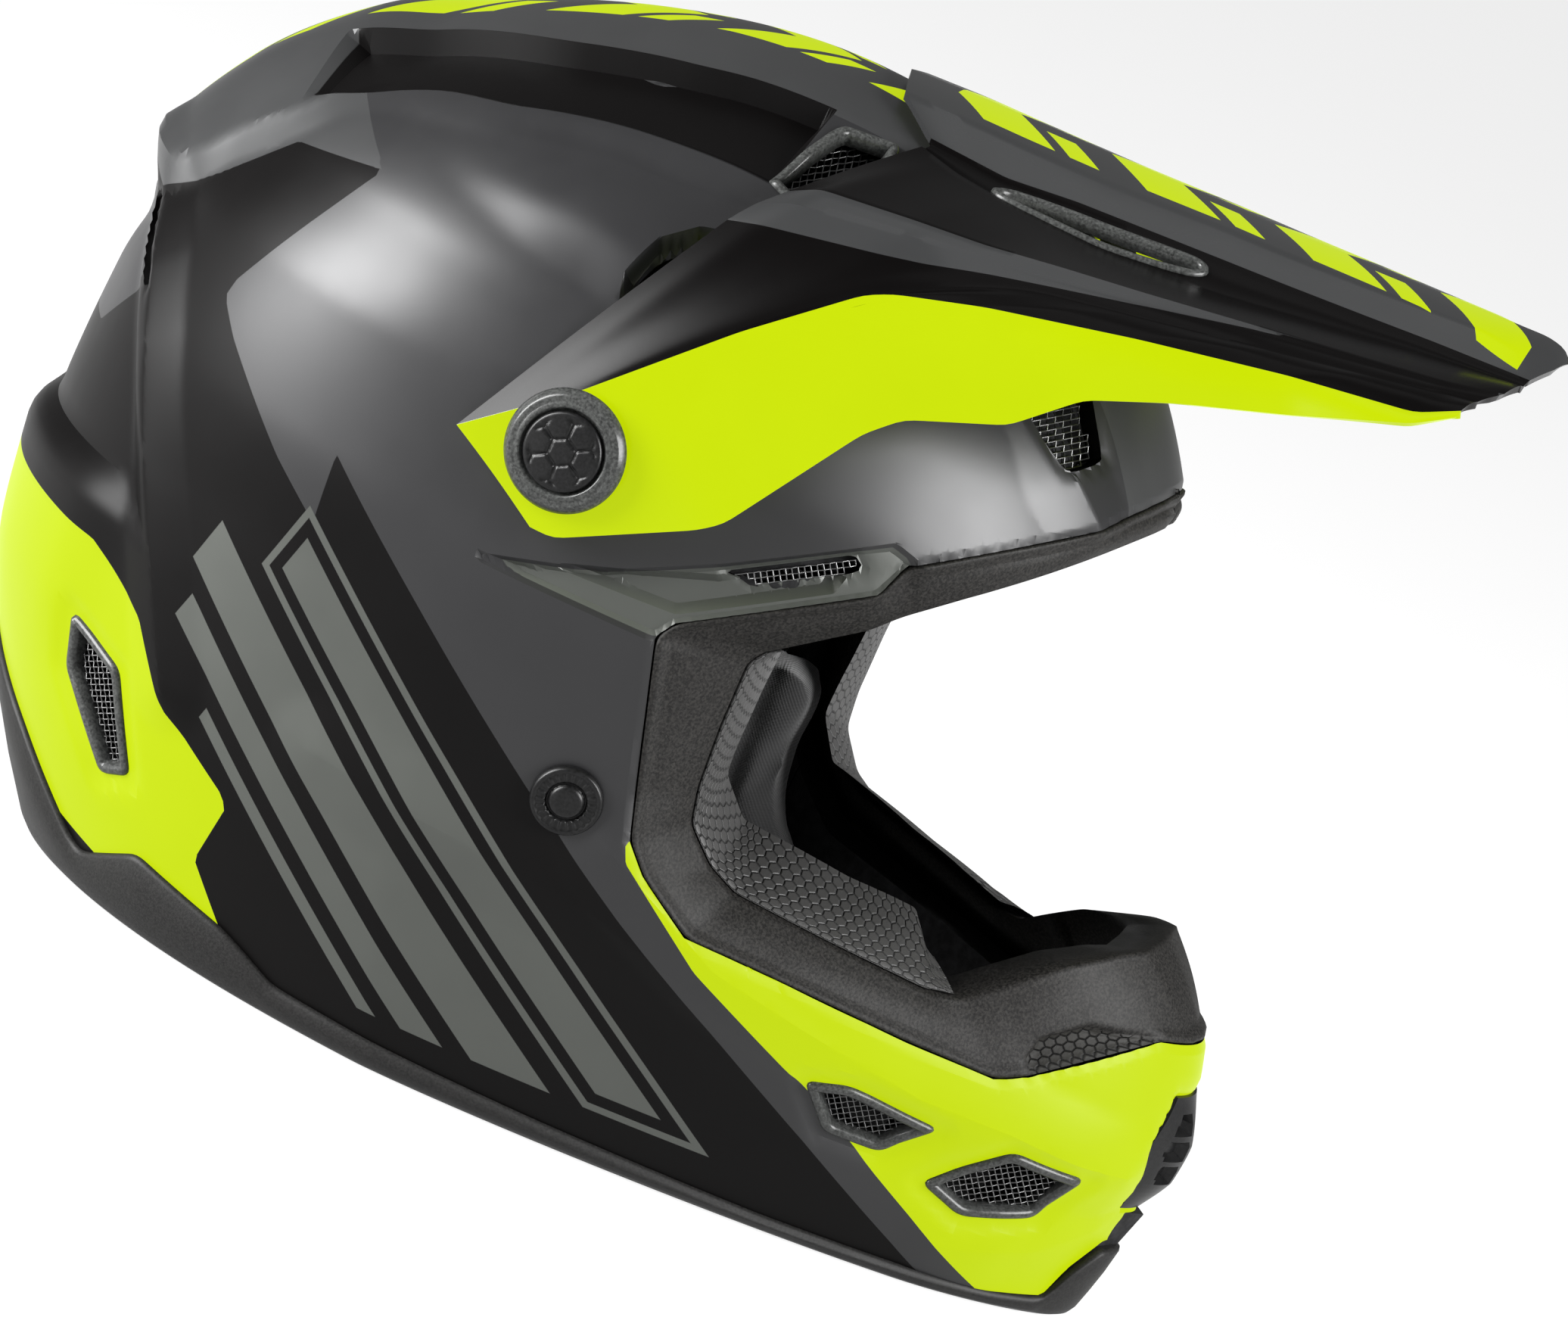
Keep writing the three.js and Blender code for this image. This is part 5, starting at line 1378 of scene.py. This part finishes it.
def build_peak():
    count = 110
    lines = {k: smooth_line([(s, f, z) for f, z, s in v], count) for k, v in PEAK.items()}
    order = ["centre", "strip", "foot", "gutter", "mid", "shoulder", "ridge", "stripe", "band", "edge"]
    steps = [7, 5, 1, 7, 12, 3, 6, 13, 10]
    bow = [0.5, 0.2, 0, -0.8, 0.5, 0, 0.2, 0.9, 0.5]
    rows, tags = [], []
    for k, (a, b) in enumerate(zip(order[:-1], order[1:])):
        for i in range(steps[k]):
            t = i / steps[k]
            # Rows close to each crease keep it crisp.
            t += 0.35 * (0.5 - 0.5 * math.cos(math.pi * t) - t) if steps[k] > 4 else 0
            p = lines[a] + (lines[b] - lines[a]) * t
            rows.append(p + np.array([0.5, 0, 0.85]) * bow[k] * math.sin(math.pi * t))
            tags.append(k + t)
    rows.append(lines["edge"])
    tags.append(len(order) - 1)
    grid = np.array(rows)
    m, n = grid.shape[:2]
    tag = np.broadcast_to(np.array(tags)[:, None], (m, n))

    s, f, z = grid[..., 0], grid[..., 1], grid[..., 2]
    hivis = distance_signed(grid, lines["band"], tag > 8)
    taper = 9.0 * np.clip((f - 30) / 95, 0, 1) ** 1.1
    stripe = np.minimum(distance_signed(grid, lines["shoulder"], tag > 5), distance_signed(grid, lines["stripe"], tag < 7) - taper)
    top = distance_signed(grid, lines["foot"], tag < 2)
    masks = {"hivis": hivis, "stripe": stripe, "top": top}

    build_slot_rings(grid)
    verts = grid.reshape(-1, 3)
    masks = {k: v.reshape(-1) for k, v in masks.items()}
    quads = grid_faces(m, n)
    left = verts * (-1, 1, 1)
    both = np.concatenate([verts, left])
    tris = np.concatenate([quads[:, [0, 1, 2]], quads[:, [0, 2, 3]]])
    tris = np.concatenate([tris, tris[:, ::-1] + len(verts)])
    extra = {k: np.concatenate([v, v]) for k, v in masks.items()}
    extra["side"] = both.copy()
    field = -inside(rounded(PEAK_SLOT, 4, 1.0), both[:, 1], np.abs(both[:, 0]))
    both, tris, extra = clip(both, tris, field, extra)
    hole = np.hypot(both[:, 1] + 23.5, both[:, 2] - 166.5) - 8.0
    hole = np.where(np.abs(both[:, 0]) > 100, hole, 30)
    both, tris, extra = clip(both, tris, hole, extra)
    names = [k for k in extra if k != "side"]
    obj = add_mesh("peak", both, tris, VISOR_PAINT, attributes={k: extra[k] for k in names})
    bm = bmesh.new()
    bm.from_mesh(obj.data)
    bmesh.ops.remove_doubles(bm, verts=bm.verts, dist=0.00004)
    bmesh.ops.recalc_face_normals(bm, faces=bm.faces)
    up = sum(face.normal.z * face.calc_area() for face in bm.faces)
    if up < 0:
        bmesh.ops.reverse_faces(bm, faces=bm.faces)
    bm.to_mesh(obj.data)
    bm.free()
    solid = obj.modifiers.new("wall", "SOLIDIFY")
    solid.thickness = PEAK_WALL / 1000
    solid.offset = -1
    bake(obj)
    obj.data.set_sharp_from_angle(angle=math.radians(24))
    add_bracket(obj)
    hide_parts("visor")
    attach(obj, "visor")


def build_slot_rings(grid):
    """A raised rim round each of the peak's two slots."""
    loop = rounded(PEAK_SLOT, 3.2, 0.8)
    pts, normals = drop_on(grid, loop)
    profile = [(-0.6, -2.8), (-0.6, 0.5), (-0.2, 1.0), (0.6, 1.1), (1.3, 0.8), (1.6, -0.3), (1.0, -1.2), (0.4, -2.8)]
    for side in ("right", "left"):
        ring = sweep(pts, normals, profile, f"peak_slot_rim_{side}", BEZEL, mirror=side == "left")
        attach(ring, "visor")


def drop_on(grid, loop):
    """Points of a surface grid over (f, s) places, with upward normals."""
    flat = grid.reshape(-1, 3)
    along = np.gradient(grid, axis=1)
    across = np.gradient(grid, axis=0)
    normal = np.cross(across, along)
    normal /= np.linalg.norm(normal, axis=-1, keepdims=True) + 1e-9
    normal[normal[..., 2] < 0] *= -1
    normal = normal.reshape(-1, 3)
    pts, ups = [], []
    for f, s in loop:
        d = (flat[:, 1] - f) ** 2 + (flat[:, 0] - s) ** 2
        near = np.argsort(d)[:6]
        w = 1 / (d[near] + 0.05)
        w /= w.sum()
        n = (normal[near] * w[:, None]).sum(0)
        z = (flat[near, 2] * w).sum()
        pts.append((s, f, z))
        ups.append(n / np.linalg.norm(n))
    pts, ups = np.array(pts), np.array(ups)
    for _ in range(6):
        pts = (np.roll(pts, 1, 0) + 2 * pts + np.roll(pts, -1, 0)) / 4
        ups = (np.roll(ups, 1, 0) + 2 * ups + np.roll(ups, -1, 0)) / 4
    return pts, ups / np.linalg.norm(ups, axis=1, keepdims=True)


def distance_rows(grid, line):
    best = np.full(grid.shape[:2], 1e9)
    for a, b in zip(line[:-1], line[1:]):
        e = b - a
        t = np.clip(((grid - a) @ e) / (e @ e), 0, 1)
        best = np.minimum(best, np.linalg.norm(grid - a - t[..., None] * e, axis=-1))
    return best


def distance_signed(grid, line, positive):
    d = distance_rows(grid, line)
    return np.where(positive, d, -d)


def bake(obj):
    """Applies an object's modifiers to its mesh."""
    depsgraph = bpy.context.evaluated_depsgraph_get()
    mesh = bpy.data.meshes.new_from_object(obj.evaluated_get(depsgraph))
    obj.modifiers.clear()
    obj.data = mesh


def join(target, *others):
    bpy.ops.object.select_all(action="DESELECT")
    for o in (target, *others):
        o.select_set(True)
    bpy.context.view_layer.objects.active = target
    bpy.ops.object.join()


def add_bracket(peak):
    """The slotted centre bracket under the peak."""
    degrees = np.linspace(40.5, 60, 24)
    rows = []
    inner, outer, half = 114.0, 116.4, 13.0
    for d in degrees:
        c, s = math.cos(math.radians(d)), math.sin(math.radians(d))
        for radius, side in ((inner, -half), (outer, -half), (outer, half), (inner, half)):
            rows.append((side, -23.5 + radius * c, 166.5 + radius * s))
    verts = np.array(rows, float)
    faces = list(grid_faces(len(degrees), 4, wrap_cols=True)) + [(0, 1, 2, 3), tuple(len(verts) - 4 + i for i in (3, 2, 1, 0))]
    arm = add_mesh("bracket", verts, faces, DARK_PLASTIC, smooth=False)
    orient(arm, (0, 55, 255))
    join(peak, arm)


build_peak()

# ------------------------------------------------------------------ turned pieces


def disc(name, profile, at, axis, finish, segments=72, relief=None):
    """A turned piece: profile of (radius, height) from its middle outwards, standing along axis."""
    axis = np.asarray(axis, float) / np.linalg.norm(axis)
    side = np.cross(axis, (0, 0, 1.0))
    side /= np.linalg.norm(side)
    up = np.cross(side, axis)
    a = np.linspace(0, 2 * math.pi, segments, endpoint=False)
    rows = []
    for radius, height in profile:
        h = np.full(a.shape, float(height))
        if relief is not None:
            h = h + relief(radius * np.cos(a), radius * np.sin(a), radius)
        rows.append(np.asarray(at) + (np.cos(a) * radius)[:, None] * side + (np.sin(a) * radius)[:, None] * up + h[:, None] * axis)
    grid = np.array(rows)
    m, n = grid.shape[:2]
    obj = add_mesh(name, grid.reshape(-1, 3), grid_faces(m, n, wrap_cols=True), finish)
    bm = bmesh.new()
    bm.from_mesh(obj.data)
    bmesh.ops.remove_doubles(bm, verts=bm.verts, dist=0.00002)
    bmesh.ops.recalc_face_normals(bm, faces=bm.faces)
    bm.to_mesh(obj.data)
    bm.free()
    return obj


def hexagon_relief(x, y, radius):
    """Grooves along the borders of hexagon cells, none at the very rim."""
    cell = 6.2
    u, v = x / cell, y / cell
    root = math.sqrt(3)
    def local(u, v):
        return (u % 1.0) - 0.5, (v % root) - root / 2
    a = local(u, v)
    b = local(u - 0.5, v - root / 2)
    near = a[0] ** 2 + a[1] ** 2 < b[0] ** 2 + b[1] ** 2
    gx, gy = np.where(near, a[0], b[0]), np.where(near, a[1], b[1])
    edge = 0.5 - np.maximum(np.abs(gx) * 0.5 + np.abs(gy) * root / 2, np.abs(gx))
    groove = np.clip(1 - edge / 0.09, 0, 1)
    return -0.7 * groove * ramp((8.6 - radius) / 0.8)


def build_fasteners():
    outside = 126.8
    flange, seat = outside + 3.2, outside + 1.6
    for side, sign in (("right", 1), ("left", -1)):
        centre = (0, -23.5, 166.5)
        axis = (sign, 0, 0)
        bush = disc(
            f"visor_bush_{side}_ring",
            [(3.6, outside - 4.4), (7.5, outside - 4.4), (7.5, outside - 0.2), (14.6, outside - 0.1), (14.9, outside + 0.6),
             (14.4, outside + 1.5), (13.6, flange - 0.6), (12.9, flange - 0.15), (12.2, flange - 0.4), (11.7, flange - 0.35),
             (11.1, flange + 0.05), (10.5, flange - 0.1), (10.1, flange - 0.8), (9.95, seat), (3.6, seat), (3.6, outside - 4.4)],
            centre, axis, BEZEL, 96,
        )
        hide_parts(f"visor_bush_{side}")
        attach(bush, "visor")
        radii = np.linspace(0, 8.8, 26)
        profile = [(0, 106), (3, 106), (3, seat + 0.3), (9.6, seat + 0.3), (9.6, seat + 1.6), (9.2, seat + 2.1)]
        profile += [(r, seat + 2.15 + 0.5 * (1 - (r / 9) ** 2)) for r in radii[::-1]]
        screw = disc(f"visor_screw_{side}_cap", profile, centre, axis, DARK_PLASTIC, 96,
                     relief=lambda x, y, r: hexagon_relief(x, y, r) if r < 8.9 else 0 * x)
        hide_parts(f"visor_screw_{side}")
        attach(screw, f"{side}_screw")

    angle = math.radians(50)
    axis = (0, math.cos(angle), math.sin(angle))
    seat = 114 + 2.4 + 0.4
    screw = disc("centre_screw_head", [(0, 92), (3, 92), (3, seat), (6.8, seat), (7, seat + 0.4), (7, seat + 1.2), (6.4, seat + 1.9),
                                       (2.6, seat + 2.1), (2.4, seat + 1.0), (0, seat + 1.0)], (0, -23.5, 166.5), axis, DARK_PLASTIC, 48)
    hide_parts("visor_centre_screw")
    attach(screw, "centre_screw")

    p, n = surface(np.array([8.0]), np.array([87.0]))
    for side, sign in (("right", 1), ("left", -1)):
        at, axis = p[0] * (sign, 1, 1), n[0] * (sign, 1, 1)

        def ticks(x, y, r):
            if not 5.2 < r < 7.4:
                return 0 * x
            turn = np.arctan2(y, x)
            return 0.28 * (np.cos(turn * 22) > 0.2)

        face = 0.7
        profile = [(0, -1), (8.7, -1), (8.9, face + 0.4), (8.7, face + 1.3), (8.2, face + 1.8), (7.7, face + 1.7), (7.4, face + 1.4),
                   (7.2, face + 1.35), (6.6, face + 1.4), (6.0, face + 1.4), (5.4, face + 1.35), (5.1, face + 1.3), (4.8, face + 0.6), (4.5, face + 0.5),
                   (4.2, face + 1.4), (3.6, face + 2.0), (2.4, face + 2.2), (1.2, face + 2.1), (0, face + 2.05)]
        cap = disc(f"rivet_cap_{side}_button", profile, at, axis, DARK_PLASTIC, 176, relief=ticks)
        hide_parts(f"rivet_cap_{side}")
        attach(cap, "helmet")


build_fasteners()

# ------------------------------------------------------------------ soft goods


def groove(distance, width):
    return np.exp(-((distance / width) ** 2))


def crown_channels(p):
    """Two seams run from the brow to the back, and three across."""
    along = np.abs(np.abs(p[:, 0]) - 34)
    across = np.abs((p[:, 1] + 15) % 62 - 31)
    return 2.2 * np.maximum(groove(along, 3.0), 0.7 * groove(across, 2.6))


def cheek_channels(p):
    """A piped seam along the pad, and two slanting ones across it."""
    low, high = p.min(0), p.max(0)
    f, z = (p[:, 1] - low[1]) / (high[1] - low[1]), (p[:, 2] - low[2]) / (high[2] - low[2])
    along = np.abs(z - 0.62 + 0.25 * f) * (high[2] - low[2])
    across = np.minimum(np.abs(f - 0.36 - 0.2 * z), np.abs(f - 0.70 + 0.1 * z)) * (high[1] - low[1])
    return 2.6 * np.maximum(groove(along, 3.2), 0.75 * groove(across, 2.8))


def roll_channels(p):
    """Seams across the roll, evenly round the neck."""
    turn = np.arctan2(p[:, 0], p[:, 1] + 25)
    pitch = math.radians(24)
    return 2.0 * groove(np.abs((turn + pitch / 2) % pitch - pitch / 2) * 75, 3.0)


def soft_copy(name, node, finish, voxel, shrink, cap, channels, pressure=4.0):
    """A padded piece grown from a CAD solid: remeshed, swollen as cloth, and smoothed."""
    source = frame["nodes"][node]
    mesh = source.data.copy()
    obj = bpy.data.objects.new(name, mesh)
    bpy.context.scene.collection.objects.link(obj)
    mesh.transform(source.matrix_world)
    mesh.materials.clear()
    mesh.materials.append(finish)
    bm = bmesh.new()
    bm.from_mesh(mesh)
    bmesh.ops.recalc_face_normals(bm, faces=bm.faces)
    bm.to_mesh(mesh)
    bm.free()
    remesh = obj.modifiers.new("remesh", "REMESH")
    remesh.mode = "VOXEL"
    remesh.voxel_size = voxel
    bake(obj)
    mesh = obj.data
    points = np.empty(len(mesh.vertices) * 3)
    mesh.vertices.foreach_get("co", points)
    normals = np.empty(len(mesh.vertices) * 3)
    mesh.vertex_normals.foreach_get("vector", normals)
    start = (points - normals * shrink).reshape(-1, 3)
    mesh.vertices.foreach_set("co", start.ravel())
    cloth = obj.modifiers.new("swell", "CLOTH")
    settings = cloth.settings
    settings.quality = 4
    settings.use_pressure = True
    settings.uniform_pressure_force = pressure
    settings.effector_weights.gravity = 0
    settings.mass = 0.3
    settings.tension_stiffness = settings.compression_stiffness = 15
    scene = bpy.context.scene
    for number in range(1, 21):
        scene.frame_set(number)
    depsgraph = bpy.context.evaluated_depsgraph_get()
    swollen = obj.evaluated_get(depsgraph).to_mesh()
    moved = np.empty(len(swollen.vertices) * 3)
    swollen.vertices.foreach_get("co", moved)
    moved = moved.reshape(-1, 3)
    obj.evaluated_get(depsgraph).to_mesh_clear()
    obj.modifiers.clear()
    scene.frame_set(1)
    step = moved - start
    size = np.linalg.norm(step, axis=1, keepdims=True)
    start = start + step * np.minimum(1, cap / np.maximum(size, 1e-9))
    mesh.vertices.foreach_set("co", start.ravel())
    smooth = obj.modifiers.new("ease", "SMOOTH")
    smooth.factor = 0.5
    smooth.iterations = 3
    divide = obj.modifiers.new("divide", "SUBSURF")
    divide.levels = divide.render_levels = 1
    bake(obj)
    mesh = obj.data
    points = np.empty(len(mesh.vertices) * 3)
    mesh.vertices.foreach_get("co", points)
    normals = np.empty(len(mesh.vertices) * 3)
    mesh.vertex_normals.foreach_get("vector", normals)
    points, normals = points.reshape(-1, 3), normals.reshape(-1, 3)
    local = points * (-1000, -1000, 1000) + (0, SHIFT, 0)
    points = points - normals * channels(local)[:, None] / 1000
    mesh.vertices.foreach_set("co", points.ravel())
    mesh.polygons.foreach_set("use_smooth", [True] * len(mesh.polygons))
    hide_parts(node)
    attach(obj, "helmet")
    return obj


soft_copy("crown_liner_soft", "crown_pad", BROW_CLOTH, 0.005, 0.0012, 0.0018, crown_channels)
soft_copy("cheek_pad_right_soft", "cheek_pad_right", COMFORT, 0.004, 0.0022, 0.004, cheek_channels)
soft_copy("cheek_pad_left_soft", "cheek_pad_left", COMFORT, 0.004, 0.0022, 0.004, cheek_channels)
soft_copy("neck_roll_soft", "neck_roll", COMFORT, 0.004, 0.002, 0.0035, roll_channels)

# ------------------------------------------------------------------ carried-over solids

CARRIED = {
    "eps_crown_liner": FOAM, "eps_chin_liner": FOAM, "visor_insert_right": STEEL, "visor_insert_left": STEEL,
    "visor_centre_insert": STEEL, "strap_rivet_right": STEEL, "strap_rivet_left": STEEL, "ring_strap": WEBBING,
    "long_strap": WEBBING, "strap_snap": DARK_PLASTIC, "d_ring_lower": STEEL, "d_ring_upper": STEEL,
}
for name, finish in CARRIED.items():
    node = frame["nodes"][name]
    node.data.materials.clear()
    node.data.materials.append(finish)
    if name.startswith(("d_ring", "strap_snap")):
        soften = node.modifiers.new("bevel", "BEVEL")
        soften.width = 0.0006
        soften.segments = 3
        soften.limit_method = "ANGLE"

# ------------------------------------------------------------------ floor, lights, camera


def look_from(name, place, target, size, power, colour=(1, 1, 1), spread=180):
    data = bpy.data.lights.new(name, "AREA")
    data.shape = "RECTANGLE"
    data.size, data.size_y = size
    data.energy = power
    data.color = colour
    data.spread = math.radians(spread)
    lamp = bpy.data.objects.new(name, data)
    bpy.context.scene.collection.objects.link(lamp)
    place, target = Vector(place), Vector(target)
    lamp.location = place
    lamp.rotation_euler = (target - place).to_track_quat("-Z", "Y").to_euler()
    return lamp


def build_stage():
    bm = bmesh.new()
    bmesh.ops.create_grid(bm, x_segments=8, y_segments=8, size=14)
    mesh = bpy.data.meshes.new("floor")
    bm.to_mesh(mesh)
    bm.free()
    floor = bpy.data.objects.new("floor", mesh)
    bpy.context.scene.collection.objects.link(floor)
    m, g, inputs, place = material("pale floor")
    inputs["Base Color"].default_value = (0.16, 0.16, 0.16, 1)
    inputs["Roughness"].default_value = 0.9
    inputs["Specular IOR Level"].default_value = 0.1
    inputs["Emission Color"].default_value = (1, 1, 1, 1)
    inputs["Emission Strength"].default_value = 0.80
    mesh.materials.append(m)

    sky = bpy.data.worlds.new("studio")
    sky.use_nodes = True
    sky.node_tree.nodes["Background"].inputs["Color"].default_value = (1, 1, 1, 1)
    sky.node_tree.nodes["Background"].inputs["Strength"].default_value = 0.16
    bpy.context.scene.world = sky

    middle = (0.0, 0.0, 0.14)
    look_from("rear_softbox", (-1.02, 1.60, 0.62), middle, (0.95, 1.7), 195)
    look_from("front_softbox", (-0.42, -1.5, 0.85), middle, (1.0, 0.9), 78)
    look_from("top_softbox", (0.1, 0.0, 3.0), middle, (2.2, 2.2), 8)
    look_from("side_fill", (-2.2, -0.6, 0.9), middle, (1.6, 1.4), 3)


def build_camera():
    data = bpy.data.cameras.new("photo view")
    data.sensor_width = 36
    data.lens = 36 * 9187.5 / 2072
    data.clip_start, data.clip_end = 0.05, 60
    camera = bpy.data.objects.new("photo view", data)
    bpy.context.scene.collection.objects.link(camera)
    right = Vector((0.225, -0.881, 0.415)).normalized()
    up = Vector((0.128, 0.449, 0.884)).normalized()
    back = right.cross(up).normalized()
    up = back.cross(right)
    aim = Vector((0.0, -0.026 + SHIFT / 1000, 0.1155))
    place = Matrix((right, up, back)).transposed().to_4x4()
    place.translation = aim + back * 1.75
    camera.matrix_world = place
    bpy.context.scene.camera = camera


build_stage()
build_camera()
bpy.context.scene.view_settings.view_transform = "Standard"
